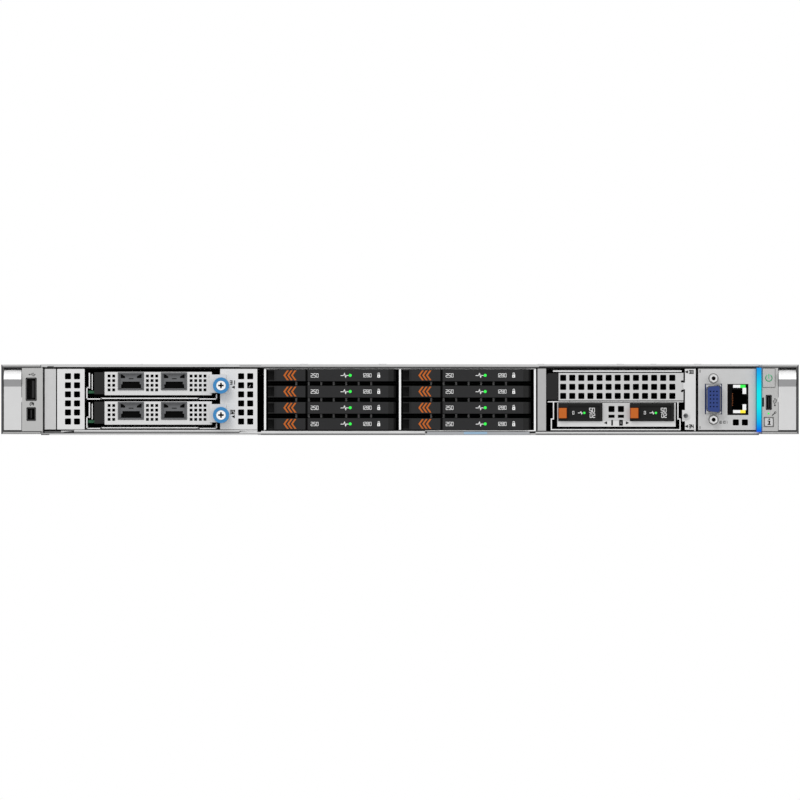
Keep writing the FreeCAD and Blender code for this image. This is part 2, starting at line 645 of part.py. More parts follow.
def drive(column, place):
    """A thin drive in its carrier: case, side rails, a fixed face and two lips for the slider."""
    label = f"drive_{column * 4 + place}"
    face, throat = "-drive_face", "-drive_face + 8.2"
    left = f"({column})*(bay_w + cage_t) - bay_w - cage_t/2 + 0.9"
    low = f"drive_z + ({3 - place})*drive_pitch"
    carrier = new_body()
    pad(carrier, "top", [[
        ("0", f"{face} + 7.6"), ("slider_slot", f"{face} + 7.6"), ("slider_slot", face),
        ("drive_w - 4.7", face),
        ("drive_w - 1.5", f"{face} + 0.9"), ("drive_w", f"{face} + 3"), ("drive_w", throat),
        ("drive_w", 40), ("drive_w - 1", 40), ("drive_w - 1", throat), ("1", throat),
        ("1", 40), ("0", 40),
    ]], "0", "drive_hgt")
    for low_lip, high_lip in (("0", "lip_t"), ("drive_hgt - lip_t", "drive_hgt")):
        pad(carrier, "top", [rect("0.2", f"{face} + 2.2", "slider_slot + 0.5", f"{face} + 8")],
            low_lip, high_lip)
    move(carrier, left, 0, low)
    case = new_body()
    pad(case, "top", [rect("1.15", f"{throat} + 0.15", "drive_w - 1.15", "drive_rear")],
        "0.1", "drive_hgt - 0.1")
    for low_step, high_step in (("0", "1.2"), ("drive_hgt - 1.2", "drive_hgt")):
        pocket(case, "top", [rect("0", "drive_rear - 6", "drive_w", "drive_rear + 1")],
               low_step, high_step)
    move(case, left, 0, low)
    node(group(carrier, case), label)
    slider = new_body()
    stem_low, stem_high = "lip_t + 0.25", "drive_hgt - lip_t - 0.25"
    pad(slider, "side", [[
        (face, "0.1"), (f"{face} + 1.9", "0.1"), (f"{face} + 1.9", stem_low),
        (f"{face} + 7.3", stem_low), (f"{face} + 7.3", stem_high), (f"{face} + 1.9", stem_high),
        (f"{face} + 1.9", "drive_hgt - 0.1"), (face, "drive_hgt - 0.1"),
    ]], "slider_x", "slider_x + slider_w")
    nick = pocket(slider, "front", [rect("slider_x - 1", "-1", "slider_x + 1.2", "drive_hgt + 1")],
                  f"{face} - 1", f"{face} + 0.7")
    slider.Tip = nick
    move(slider, left, 0, low)
    node(slider, f"{label}_release")


def drive_backplane():
    """The upright board behind the cage with one socket per drive and air slots between them."""
    body = new_body()
    pad(body, "front", [rect("-bay_w - 4", "cage_lo", "bay_w + 4", "case_top - cover_t - 2")],
        "cage_rear + gap", "cage_rear + gap + board_t")
    socket = pad(body, "front", [rect("8 - bay_w", "drive_z + 1", "46 - bay_w", "drive_z + 6")],
                 "cage_rear + gap - 5", "cage_rear + gap + 0.1")
    repeat(body, socket, 2, "bay_w + cage_t", 4, "drive_pitch")
    vent = pocket(body, "front", [rect("52 - bay_w", "drive_z + 1", "70 - bay_w", "drive_z + 6")],
                  "cage_rear + gap - 1", "cage_rear + gap + board_t + 1")
    repeat(body, vent, 2, "bay_w + cage_t", 4, "drive_pitch")
    return node(body, "drive_backplane")


def information_tag():
    """The pull-out label tray under the drives: a thin blade with a turned-up front lip."""
    body = new_body()
    left, right, under = "tag_x - tag_w/2", "tag_x + tag_w/2", "sheet_t + 0.2"
    pad(body, "side", [[
        ("-nose - 1.4", "0.2"), ("-nose - 0.4", "0.2"), ("-nose - 0.4", under),
        ("tag_len - nose", under), ("tag_len - nose", f"{under} + tag_t"),
        ("-nose - 1.4", f"{under} + tag_t"),
    ]], left, right)
    return node(body, "information_tag")


# ---------------------------------------------------------------- network card bay

def card_bay_panels():
    """The two perforated panels beside the cards, joined by sills above and below the bay."""
    body = new_body()
    face, back = "-nose", "sheet_t - nose"
    pad(body, "front", [rect("panel_left", "panel_lo", "bay_left", "panel_hi")], face, back)
    pad(body, "front", [rect("bay_right", "panel_lo", "panel_right", "panel_hi")], face, back)
    holes = pocket(body, "front", [rect("bay_left - 11.9", "panel_lo + 2.95",
                                        "bay_left - 11.9 + hole", "panel_lo + 2.95 + hole")],
                   f"{face} - 1", f"{back} + 1")
    repeat(body, holes, 2, "hole_pitch", 6, "hole_pitch")
    holes = pocket(body, "front", [rect("panel_right - 11.6", "panel_lo + 2.95",
                                        "panel_right - 11.6 + hole", "panel_lo + 2.95 + hole")],
                   f"{face} - 1", f"{back} + 1")
    repeat(body, holes, 2, "hole_pitch", 6, "hole_pitch")
    for low in ("sheet_t + 0.1", "panel_hi"):
        pad(body, "front", [rect("panel_left", low, "panel_right", f"{low} + 0.9")],
            f"{back} - 0.5", f"{back} + 12")
    for left, right in (("panel_left", "bay_left"), ("bay_right", "panel_right")):
        pad(body, "front", [rect(left, "sheet_t + 0.1", right, "panel_lo + 0.1")],
            f"{back} - 0.6", back)
    for edge in ("bay_left - sheet_t", "bay_right"):
        pad(body, "front", [rect(edge, "panel_lo - 1.4", f"{edge} + sheet_t", "panel_hi + 0.5")],
            f"{back} - 0.3", f"{back} + 20")
    # notches round the shanks of the cards' thumbscrews
    for place in ("0", "1"):
        pocket(body, "front", [rect("bay_right - 1", f"{screw_height(place)} - 2.4",
                                    "bay_right + 3.4", f"{screw_height(place)} + 2.4")],
               f"{face} - 1", f"{back} + 4")
    strip = rect("2.2 - case_w/2", "panel_lo", "panel_left - 0.7", "panel_hi")
    side_strip = new_body()
    pad(side_strip, "front", [strip], face, back)
    return node(group(body, side_strip), "card_bay_panels")


def screw_height(place):
    """The height of a card's thumbscrew, the upper card being place 0."""
    return f"card_z + (1 - {place})*card_pitch + card_hgt/2 - 1.2"


def network_card(place, label):
    """A card: bracket with vent holes and screw tab, board, cooler, left ejector and two cages."""
    face = "0.4 - nose"
    low = f"card_z + (1 - {place})*card_pitch"
    bracket = new_body()
    right = "card_x + card_w"
    pad(bracket, "front", [rect("card_x", "0", right, "card_hgt")], face, f"{face} + sheet_t")
    for opening in ("0", "1"):
        left = f"card_x + 8.0 + {opening}*cage_pitch"
        pocket(bracket, "front", [rect(left, "3.0", f"{left} + cage_w + 0.4", "3.4 + cage_h")],
               f"{face} - 1", f"{face} + sheet_t + 1")
    for left, columns in (("1.8", 2), ("25.0", 3), ("51.4", 4)):
        hole = pocket(bracket, "front", [rect(f"card_x + {left}", "2.3", f"card_x + {left} + small_hole",
                                              "2.3 + small_hole")], f"{face} - 1",
                      f"{face} + sheet_t + 1")
        repeat(bracket, hole, columns, "small_pitch", 4, "small_pitch")
    tab = rect(f"{right} - 0.2", "1.4", "bay_right + 3.6", "card_hgt - 1.6")
    pad(bracket, "front", [tab], "-nose - gap - 1", "-nose - gap")
    pad(bracket, "front", [rect(f"{right} - 1.2", "1.4", right, "card_hgt - 1.6")],
        "-nose - gap - 1", f"{face} + 0.5")
    eye = polygon("bay_right + 0.6", "card_hgt/2 - 1.2", "2.2", 10)
    pocket(bracket, "front", [eye], "-nose - 3", "-nose")
    pad(bracket, "front", [rect("card_x", "0", right, "0.8")], f"{face} + sheet_t - 0.1",
        f"{face} + 9")
    move(bracket, 0, 0, low)
    pieces = [bracket]
    board_z = f"{low} + 1.1"
    board = box("bay_left + 2.2", "bay_right - 4.6", f"{face} + 3", f"{face} + card_len",
                board_z, f"{board_z} + board_t")
    cooler = box("card_x + 14", "card_x + 50", f"{face} + 58", f"{face} + 98",
                 f"{board_z} + board_t", f"{low} + card_hgt - 1.5")
    grooves = []
    for groove in range(8):
        at = f"card_x + 16 + {groove}*4.4"
        grooves.append(box(at, f"{at} + 2.4", f"{face} + 57", f"{face} + 99",
                           f"{board_z} + board_t + 2.5", f"{low} + card_hgt"))
    pieces.append(fuse(board, cut(cooler, *grooves)))
    pieces.append(box("card_x - 6.3", "card_x - 0.1", f"{face}", f"{face} + 2.9", f"{low} + 0.6",
                      f"{low} + card_hgt - 0.2"))
    for opening in ("0", "1"):
        cage = new_body()
        left = f"card_x + 8.2 + {opening}*cage_pitch"
        pad(cage, "front", [rect(left, "3.2", f"{left} + cage_w", "3.2 + cage_h")],
            f"{face} - 0.6", f"{face} + 50")
        pocket(cage, "front", [rect(f"{left} + cage_wall", "3.2 + cage_wall",
                                    f"{left} + cage_w - cage_wall", "3.2 + cage_h - cage_wall")],
               f"{face} - 2", f"{face} + 49")
        move(cage, 0, 0, low)
        pieces.append(cage)
    return node(group(*pieces), label)


def thumbscrew(place, label):
    """A captive screw: knurled collar, recessed head and shank, turned from one profile."""
    body = new_body()
    seat, head = "-nose - gap - 1 - 0.2", "-nose - gap - 6.4"
    pad(body, "front", [polygon("0", "0", "screw_r", 24)], head, seat)
    pocket(body, "front", [("0", "0", "screw_r*0.6")], f"{head} - 1", f"{head} + 1.2")
    pad(body, "front", [polygon("0", "0", "1.7", 8)], f"{seat} - 0.5", "3.4 - nose")
    cross = [rect("-1.9", "-0.4", "1.9", "0.4"), rect("-0.4", "-1.9", "0.4", "1.9")]
    for arm in cross:
        pocket(body, "front", [arm], f"{head} + 1", f"{head} + 2.6")
    move(body, "bay_right + 0.6", 0, screw_height(place))
    return node(body, label)


# ---------------------------------------------------------------- riser bay and boot module

def riser_bracket():
    """The bracket of the riser bay: a left flange, a right flange with its screw, and two sills."""
    body = new_body()
    face, back = "-nose", "sheet_t - nose"
    pad(body, "front", [rect("riser_left", "2.4", "blank_x - 7.6", "panel_hi + 0.4")], face, back)
    pad(body, "front", [rect("blank_right + 0.9", "panel_lo - 0.2", "riser_right", "panel_hi")],
        face, back)
    pad(body, "front", [rect("riser_left", "sheet_t + 0.2", "riser_right", "sheet_t + 1.1")],
        f"{back} - 0.6", f"{back} + 20")
    pad(body, "front", [rect("riser_left", "panel_hi + 0.1", "riser_right", "panel_hi + 0.9")],
        f"{back} - 0.6", f"{back} + 20")
    for left, right in (("riser_left", "riser_left + 1"), ("riser_right - 1", "riser_right")):
        pad(body, "front", [rect(left, "sheet_t + 0.3", right, "panel_hi + 0.8")],
            f"{back} - 0.4", f"{back} + 80")
    pad(body, "front", [rect("riser_screw_x - 2.2", "screw_tab_z - 3.4", "blank_right + 1",
                             "screw_tab_z + 3.4")], face, back)
    pad(body, "front", [polygon("riser_screw_x", "screw_tab_z", "2.4", 12)], f"{face} - 0.6", face)
    pad(body, "front", [polygon("riser_screw_x", "screw_tab_z", "1.4", 10)], f"{face} - 1.5",
        f"{face} - 0.5")
    shelf = rect("blank_x - 6.6", "boot_hi + 0.35", "blank_right", "boot_hi + 0.95")
    pad(body, "front", [shelf], f"{face} + 1.6", f"{face} + 60")
    # the cranked walls and floor that the boot module slides in
    floor, crank, top = "2.95", "9.4", "boot_hi + 0.9"
    lower, upper = "(boot_x - 3.9)", "(boot_x - 2.6)"
    low_end, high_end = "(boot_right + 3.0)", "(boot_right + 1.7)"
    pad(body, "front", [[
        (lower, floor), (low_end, floor), (low_end, f"{crank} + guide_t"), (high_end, f"{crank} + guide_t"),
        (high_end, top), (f"{high_end} - guide_t", top), (f"{high_end} - guide_t", crank),
        (f"{low_end} - guide_t", crank), (f"{low_end} - guide_t", f"{floor} + guide_t"),
        (f"{lower} + guide_t", f"{floor} + guide_t"), (f"{lower} + guide_t", crank),
        (f"{upper} + guide_t", crank), (f"{upper} + guide_t", top), (upper, top),
        (upper, f"{crank} + guide_t"), (lower, f"{crank} + guide_t"),
    ]], f"{face} + 1.6", f"{face} + 60")
    rail, web = "blank_hi + 0.7", f"{face} + 18"
    pad(body, "side", [[
        (f"{face} + 1.2", rail), (web, rail), (web, "panel_hi + 0.3"), (f"{web} - 0.8", "panel_hi + 0.3"),
        (f"{web} - 0.8", f"{rail} + 0.8"), (f"{face} + 1.2", f"{rail} + 0.8"),
    ]], "blank_x - 3.3", "blank_right - 1.1")
    return node(body, "riser_bracket")


def slot_blank():
    """The perforated blank in the upper slot, with its dark plastic end block."""
    body = new_body()
    face = "0.5 - nose"
    pad(body, "front", [rect("blank_x", "blank_z", "blank_right", "blank_hi")], face,
        f"{face} + sheet_t")
    hole_z = "blank_z + 0.9"
    first = pocket(body, "front", [rect("blank_x + 0.9", hole_z, "blank_x + 0.9 + hole",
                                        f"{hole_z} + hole")], f"{face} - 1", f"{face} + sheet_t + 1")
    repeat(body, first, 13, "5.5", 3, "hole_pitch")
    for height in ("26.6", "32.4"):
        pocket(body, "front", [polygon("blank_right - 0.9", height, "0.75", 6)], f"{face} - 1",
               f"{face} + sheet_t + 1")
    pad(body, "front", [rect("blank_x", "blank_hi - 0.8", "blank_right", "blank_hi")],
        f"{face} + sheet_t - 0.1", f"{face} + 10")
    pad(body, "front", [rect("blank_x", "blank_z", "blank_right", "blank_z + 0.6")],
        f"{face} + sheet_t - 0.1", f"{face} + 10")
    block = new_body()
    pad(block, "front", [[
        ("blank_x - 7.3", "blank_z + 0.5"), ("blank_x - 0.3", "blank_z + 0.5"),
        ("blank_x - 0.3", "blank_hi - 0.2"), ("blank_x - 6.2", "blank_hi - 0.2"),
        ("blank_x - 7.3", "blank_hi - 1.4"),
    ]], face, f"{face} + 8")
    return node(group(body, block), "slot_blank")


def boot_bracket():
    """The boot module's front plate with two carrier openings, vents and its carrier board."""
    body = new_body()
    face, socket_y = "0.4 - nose", "boot_len + boot_behind - nose"
    pad(body, "front", [rect("boot_x", "boot_lo", "boot_right", "boot_hi")], face, f"{face} + sheet_t")
    for left in ("boot_a", "boot_b"):
        opening = rect(f"{left} - 0.4", "boot_z - 0.3", f"{left} + boot_w + 0.3", "boot_z + boot_h + 0.3")
        pocket(body, "front", [opening], f"{face} - 1", f"{face} + sheet_t + 1")
    middle = "(boot_a + boot_b + boot_w)/2"
    for shift in ("-4.7", "1.0"):
        left = f"{middle} + {shift}"
        pocket(body, "front", [rect(left, "13.9", f"{left} + hole", "13.9 + hole")], f"{face} - 1",
               f"{face} + sheet_t + 1")
        pocket(body, "front", [rect(left, "10.4", f"{left} + hole", "12.3")], f"{face} - 1",
               f"{face} + sheet_t + 1")
    pad(body, "front", [rect("boot_x", "boot_lo", "boot_right", "boot_lo + 0.8")],
        f"{face} + sheet_t - 0.1", f"{socket_y} + 5")
    pad(body, "front", [rect("boot_x + 2", "boot_lo + 0.7", "boot_right - 2", "boot_z")],
        socket_y, f"{socket_y} + 4")
    socket = box("boot_a + 2", "boot_b + boot_w - 2", socket_y, f"{socket_y} + 4",
                 "boot_z - 0.1", "boot_z + 6")
    return node(fuse(body, socket), "boot_bracket")


def boot_drive(left, label, release_label):
    """A sled that carries a stick drive, with a recessed face, and its sprung release tab."""
    face = "-drive_face"
    right, top = f"{left} + boot_w", "boot_z + boot_h"
    sled = new_body()
    pad(sled, "front", [rect(left, "boot_z", right, top)], face, f"{face} + 12")
    pocket(sled, "front", [rect(f"{left} + 5.6", "boot_z + 1.4", f"{right} - 1.4", f"{top} - 1.4")],
           f"{face} - 1", f"{face} + 1.2")
    pocket(sled, "front", [rect(f"{left} - 1", "boot_z + 1.2", f"{left} + 5.0", "boot_z + 8.0")],
           f"{face} - 1", f"{face} + 9")
    pad(sled, "front", [rect(f"{left} + 1", "boot_z", f"{right} - 1", "boot_z + 1.2")],
        f"{face} + 11", f"boot_len - nose")
    for edge in (f"{left} + 1", f"{right} - 2.4"):
        pad(sled, "front", [rect(edge, "boot_z + 1.1", f"{edge} + 1.4", "boot_z + 6")],
            f"{face} + 11", f"boot_len - nose")
    stick = box(f"{left} + 2.7", f"{right} - 2.7", f"{face} + 12.4", "boot_len - nose - 0.4",
                "boot_z + 2.4", "boot_z + 3.2")
    post = box(f"{left} + 10", f"{right} - 10", f"{face} + 20", "boot_len - nose - 20",
               "boot_z + 1.1", "boot_z + 2.4")
    chips = [box(f"{left} + 4", f"{right} - 4", f"{face} + {near}", f"{face} + {near} + 16",
                 "boot_z + 3.1", "boot_z + 4.4") for near in (18, 38, 58)]
    node(group(sled, fuse(stick, post, *chips)), label)
    tab = new_body()
    pad(tab, "front", [rect(f"{left} - 0.2", "boot_z + 1.5", f"{left} + 4.7", "boot_z + 7.7")],
        f"{face} - 2.4", f"{face} + 6.5")
    soften(tab, 0.6, Z_AXIS, lambda at: at.y < number(f"{face} - 1"))
    node(tab, release_label)


# ---------------------------------------------------------------- front connectors

def io_plate():
    """The plate round the video port and the network jack, with two vents."""
    body = new_body()
    face = "-nose"
    pad(body, "front", [rect("io_left", "panel_lo - 0.3", "io_right", "panel_hi + 0.1")], face,
        f"{face} + sheet_t")
    pocket(body, "front", [around("video_x", "video_z", "10.4", "18.6")], f"{face} - 1", f"{face} + 3")
    for up in ("-1", "1"):
        pocket(body, "front", [polygon("video_x", f"video_z + {up}*standoff_pitch/2", "1.7", 8)],
               f"{face} - 1", f"{face} + 3")
    pocket(body, "front", [around("jack_x", "jack_z", "jack_w", "jack_h", "0.2")], f"{face} - 1",
           f"{face} + 3")
    vent = pocket(body, "front", [rect("io_right - 13.9", "5.8", "io_right - 13.9 + hole",
                                       "5.8 + hole")], f"{face} - 1", f"{face} + 3")
    repeat(body, vent, 2, "hole_pitch")
    pad(body, "front", [rect("io_left", "sheet_t + 0.2", "io_right", "panel_lo")], f"{face} + 0.6",
        f"{face} + sheet_t")
    return node(body, "io_plate")


def video_port():
    """The 15-way video socket stood on end: D-shaped shell, insert and two hex nuts."""
    body = new_body()
    face = "-nose"
    long, short, wide = "8.4", "7.0", "4.2"
    shell = [
        (f"video_x + {wide}", f"video_z - {long}"), (f"video_x + {wide}", f"video_z + {long}"),
        (f"video_x - {wide} + 1.4", f"video_z + {long} - 0.5"), (f"video_x - {wide}", f"video_z + {short}"),
        (f"video_x - {wide}", f"video_z - {short}"), (f"video_x - {wide} + 1.4", f"video_z - {long} + 0.5"),
    ]
    pad(body, "front", [shell], f"{face} - 5.4", f"{face} + 2")
    pin = rect("video_x - 2.4", "video_z - 5.0", "video_x - 1.6", "video_z - 4.2")
    first = pocket(body, "front", [pin], f"{face} - 7", f"{face} - 1")
    repeat(body, first, 3, "2.0", 5, "2.3")
    pad(body, "front", [rect("video_x - 6", "video_z - 15.3", "video_x + 6", "video_z + 15.3")],
        f"{face} + sheet_t + 0.1", f"{face} + 10")
    nuts = []
    for up in ("-1", "1"):
        nut, height = new_body(), f"video_z + {up}*standoff_pitch/2"
        pad(nut, "front", [polygon("video_x", height, "2.5", 6)], f"{face} - 4.45", f"{face} - 0.05")
        pad(nut, "front", [polygon("video_x", height, "1.55", 6)], f"{face} - 0.1", f"{face} + 1.2")
        pocket(nut, "front", [("video_x", height, "1.25")], f"{face} - 6", f"{face} + 1.2")
        nuts.append(nut)
    return node(group(body, *nuts), "video_port")


def network_jack():
    """The jack on its side: a shell with a stepped plug opening and eight contacts."""
    body = new_body()
    face = "-nose - 0.1"
    left, right = "jack_x - jack_w/2", "jack_x + jack_w/2"
    low, high = "jack_z - jack_h/2", "jack_z + jack_h/2"
    pad(body, "front", [rect(left, low, right, high)], face, f"{face} + 16")
    mouth = [
        (f"{left} + 2.6", "jack_z - 5.9"), (f"{left} + 8.9", "jack_z - 5.9"),
        (f"{left} + 8.9", "jack_z - 3.1"), (f"{left} + 10.1", "jack_z - 3.1"),
        (f"{left} + 10.1", "jack_z - 2.2"), (f"{left} + 11.5", "jack_z - 2.2"),
        (f"{left} + 11.5", "jack_z + 2.2"), (f"{left} + 10.1", "jack_z + 2.2"),
        (f"{left} + 10.1", "jack_z + 3.1"), (f"{left} + 8.9", "jack_z + 3.1"),
        (f"{left} + 8.9", "jack_z + 5.9"), (f"{left} + 2.6", "jack_z + 5.9"),
    ]
    pocket(body, "front", [mouth], f"{face} - 1", f"{face} + 13")
    contact = pad(body, "front", [rect(f"{left} + 2.5", "jack_z - 3.8", f"{left} + 3.3", "jack_z - 3.4")],
                  f"{face} + 2", f"{face} + 13.5")
    repeat(body, contact, 1, "1", 8, "1.02")
    return node(body, "network_jack")

# ---------------------------------------------------------------- fans and main board

def fan(x):
    """One fan: a housing with a rear motor mount and shaft, and a rotor of pitched blades on it."""
    axis_z = "sheet_t + fan_w/2 - 0.5"
    frame = new_body()
    housing = rect("0.2 - fan_pitch/2", "0.5 - fan_w/2", "fan_pitch/2 - 0.2", "fan_w/2 - 0.5")
    pad(frame, "front", [housing, polygon("0", "0", "fan_bore_r", 12)], "0", "fan_len")
    pad(frame, "front", [polygon("0", "0", "fan_hub_r", 6)], "fan_len - 8", "fan_len - 1")
    pad(frame, "front", [rect("-fan_bore_r", "-1.2", "fan_bore_r", "1.2")], "fan_len - 4", "fan_len - 1")
    pad(frame, "front", [polygon("0", "0", "1.6", 4)], "fan_blade_y", "fan_len - 7")
    move(frame, x, "fan_y", axis_z)
    rotor = new_body()
    pad(rotor, "front", [polygon("0", "0", "fan_hub_r", 6)], "fan_blade_y - 4", "fan_len - 8.5")
    chord = "fan_blade_len/2"
    outline = [
        ("fan_hub_r - 2.4", f"-0.4*{chord}"), ("0.785*fan_bore_r", f"-{chord}"),
        ("0.93*fan_bore_r", f"-0.36*{chord}"), ("0.93*fan_bore_r", f"0.36*{chord}"),
        ("0.785*fan_bore_r", chord), ("fan_hub_r - 2.4", f"0.4*{chord}"),
    ]
    middle = "(fan_blade_y + fan_blade_len/2)"
    blade = pad(rotor, "front", [outline], f"{middle} - 0.8", f"{middle} + 0.8")
    flat = blade.Profile[0]
    flat.AttachmentOffset.Rotation = FreeCAD.Rotation(X_AXIS, number("fan_tilt"))
    bind(flat, AttachmentOffset__Rotation__Angle="fan_tilt * 1 deg")
    ring = rotor.newObject("PartDesign::PolarPattern", "blades")
    ring.Originals = [blade]
    ring.Axis = (next(f for f in rotor.Origin.OriginFeatures if f.Role == "Y_Axis"), [""])
    ring.Angle = 360
    bind(ring, Occurrences="fan_blades")
    rotor.Tip = ring
    pocket(rotor, "front", [polygon("0", "0", "1.7", 4)], "fan_blade_y - 1", "fan_len")
    move(rotor, x, "fan_y", axis_z)
    return [frame, rotor]


def fan_modules():
    """The wall of eight fans across the tray."""
    pieces = []
    for place in range(8):
        pieces += fan(f"({place} - 3.5)*fan_pitch")
    return node(group(*pieces), "fan_modules")


BOARD_TOP = "board_z + board_t"


def main_board():
    """The main board on its standoffs, with processor and memory sockets and smaller parts."""
    body = new_body()
    half = "case_w/2 - sheet_t - 3"
    pad(body, "top", [rect(f"-({half})", "board_y", half, "board_rear")], "board_z", BOARD_TOP)
    foot = pad(body, "top", [polygon("10 - case_w/2", "board_y + 8", "2.6", 6)], "sheet_t",
               "board_z + 0.1")
    repeat(body, foot, 3, "(case_w - 20)/2", 3, "(board_rear - board_y - 16)/2")
    socket = pad(body, "top", [rect("-cpu_x - 29", "cpu_y + 22", "29 - cpu_x", "cpu_y + 96")],
                 f"{BOARD_TOP} - 0.1", f"{BOARD_TOP} + 6")
    repeat(body, socket, 2, "2*cpu_x")
    for x, count in memory_banks():
        bank = rect(f"{x} - 3.2", "cpu_y - 11", f"{x} + {count - 1}*dimm_pitch + 3.2",
                    "cpu_y + dimm_len - 4")
        pad(body, "top", [bank], f"{BOARD_TOP} - 0.1", f"{BOARD_TOP} + 4")
    blocks = [
        ("-150", "-110", "board_rear - 60", "board_rear - 20", 11), ("-60", "20", "board_rear - 40",
                                                                     "board_rear - 30", 9),
        ("60", "104", "board_rear - 70", "board_rear - 26", 14), ("150", "200", "board_rear - 24",
                                                                  "board_rear - 6", 12),
        ("-200", "-160", "board_rear - 24", "board_rear - 6", 12), ("-60", "60", "board_y + 8",
                                                                    "board_y + 16", 8),
    ]
    for left, right, front, back, tall in blocks:
        pad(body, "top", [rect(left, front, right, back)], f"{BOARD_TOP} - 0.1", f"{BOARD_TOP} + {tall}")
    for left in ("-cpu_x - 30", "cpu_x - 30"):
        coil = pad(body, "top", [rect(left, "cpu_y - 22", f"{left} + 9", "cpu_y - 14")],
                   f"{BOARD_TOP} - 0.1", f"{BOARD_TOP} + 7")
        repeat(body, coil, 5, "12.6")
    return node(body, "mainboard")


def memory_banks():
    """The middle of each bank's first module, and how many modules the bank has."""
    return [("-201", 8), ("-7.5*dimm_pitch", 16), ("201 - 7*dimm_pitch", 8)]


def memory_modules():
    """Thirty-two modules, each a thin card with its chips as one block along a face."""
    modules = []
    for x, count in memory_banks():
        for place in range(count):
            module = new_body()
            base, high = f"{BOARD_TOP} + 4", f"{BOARD_TOP} + 32"
            pad(module, "front", [[
                ("-0.6", base), ("0.6", base), ("1.7", f"{base} + 5"), ("1.7", f"{base} + 24"),
                ("-0.6", high),
            ]], "cpu_y - 7", "cpu_y + dimm_len - 8")
            move(module, f"{x} + {place}*dimm_pitch")
            modules.append(module)
    return node(group(*modules), "memory_modules")


def heat_sinks():
    """The two processor coolers: a base plate on the socket and a comb of fins."""
    sinks = []
    base = f"{BOARD_TOP} + 6"
    for side in (-1, 1):
        body = new_body()
        half = "sink_w/2 - 1"
        pad(body, "top", [rect(f"-({half})", "cpu_y", half, "cpu_y + sink_len")], base, f"{base} + 4")
        fin = pad(body, "top", [rect(f"-({half})", "cpu_y", f"fin_t - ({half})", "cpu_y + sink_len")],
                  f"{base} + 3.9", "case_top - cover_t - 3")
        repeat(body, fin, "floor((sink_w - 2) / fin_pitch) + 1", "fin_pitch")
        move(body, f"{side}*cpu_x")
        sinks.append(body)
    return node(group(*sinks), "heatsinks")


# ---------------------------------------------------------------- power supplies

def power_supply(x, label):
    """A hot-plug supply: vented case, handle, mains inlet, inner board, and its release tab."""
    front, back = "case_rear - psu_len", "case_rear"
    case = new_body()
    pad(case, "front", [rect("0", "0", "psu_w", "psu_h")], front, back)
    pocket(case, "front", [rect("psu_wall", "psu_wall", "psu_w - psu_wall", "psu_h - psu_wall")],
           f"{front} - 1", f"{back} - psu_wall")
    inlet_opening = rect("4.9", "8.9", "33.1", "29.7")
    slot = rect("57.6", "15.6", "65.4", "22.4")
    pocket(case, "front", [inlet_opening, slot], f"{back} - 3", f"{back} + 1")
    vent = pocket(case, "front", [rect("36", "4", "41", "7.4")], f"{back} - 3", f"{back} + 1")
    repeat(case, vent, 2, "6.8", 4, "8.2")
    pad(case, "side", [[
        (f"{back} - 0.5", "5"), (f"{back} + grip_out - 3", "5"), (f"{back} + grip_out", "8"),
        (f"{back} + grip_out", "30.6"), (f"{back} + grip_out - 3", "33.6"), (f"{back} - 0.5", "33.6"),
        (f"{back} - 0.5", "30.1"), (f"{back} + grip_out - 4.5", "30.1"),
        (f"{back} + grip_out - 3.5", "29.1"), (f"{back} + grip_out - 3.5", "9.5"),
        (f"{back} + grip_out - 4.5", "8.5"), (f"{back} - 0.5", "8.5"),
    ]], "50.5", "55.5")
    inlet = new_body()
    pad(inlet, "front", [rect("5", "9", "33", "29.6")], f"{back} - 16", f"{back} + 0.6")
    pocket(inlet, "front", [[
        ("6.9", "12.6"), ("8.7", "10.8"), ("29.3", "10.8"), ("31.1", "12.6"), ("31.1", "27.8"),
        ("6.9", "27.8"),
    ]], f"{back} - 14", f"{back} + 2")
    for left, low in (("11", "16.2"), ("18", "19.8"), ("25", "16.2")):
        pad(inlet, "front", [rect(left, low, f"{left} + 2", f"{low} + 4")], f"{back} - 15", f"{back} - 5")
    board = box("4", "psu_w - 4", f"{front} - 9", f"{back} - 24", "3", "4.6")
    feet = box("8", "psu_w - 8", f"{front} + 20", f"{back} - 40", "psu_wall", "3.1")
    parts = [
        box(left, right, f"{front} + {near}", f"{front} + {far}", "4.5", high)
        for left, right, near, far, high in (
            ("6", "30", 14, 54, "32"), ("34", "62", 14, 60, "29"), ("8", "28", 66, 104, "34"),
            ("36", "60", 72, 92, "26"), ("14", "52", 112, 140, "30"))
    ]
    inside = fuse(board, feet, *parts)
    supply = group(case, inlet, inside)
    move(supply, x, 0, "psu_z")
    node(supply, label)
    tab = new_body()
    pad(tab, "front", [rect("59.5", "14", "66.5", "24")], f"{back} + gap", f"{back} + 11")
    pad(tab, "front", [rect("61", "16", "65", "22")], f"{back} - 3.4", f"{back} + gap + 0.1")
    pad(tab, "front", [rect("58.6", "14.4", "66.4", "23.6")], f"{back} - 3.4", f"{back} - psu_wall - gap")
    for ridge in ("60.4", "62.6", "64.8"):
        pad(tab, "front", [rect(ridge, "14.6", f"{ridge} + 0.9", "23.4")], f"{back} + 10.9",
            f"{back} + 11.6")
    move(tab, x, 0, "psu_z")
    node(tab, f"{label}_latch")


# ---------------------------------------------------------------- assembly

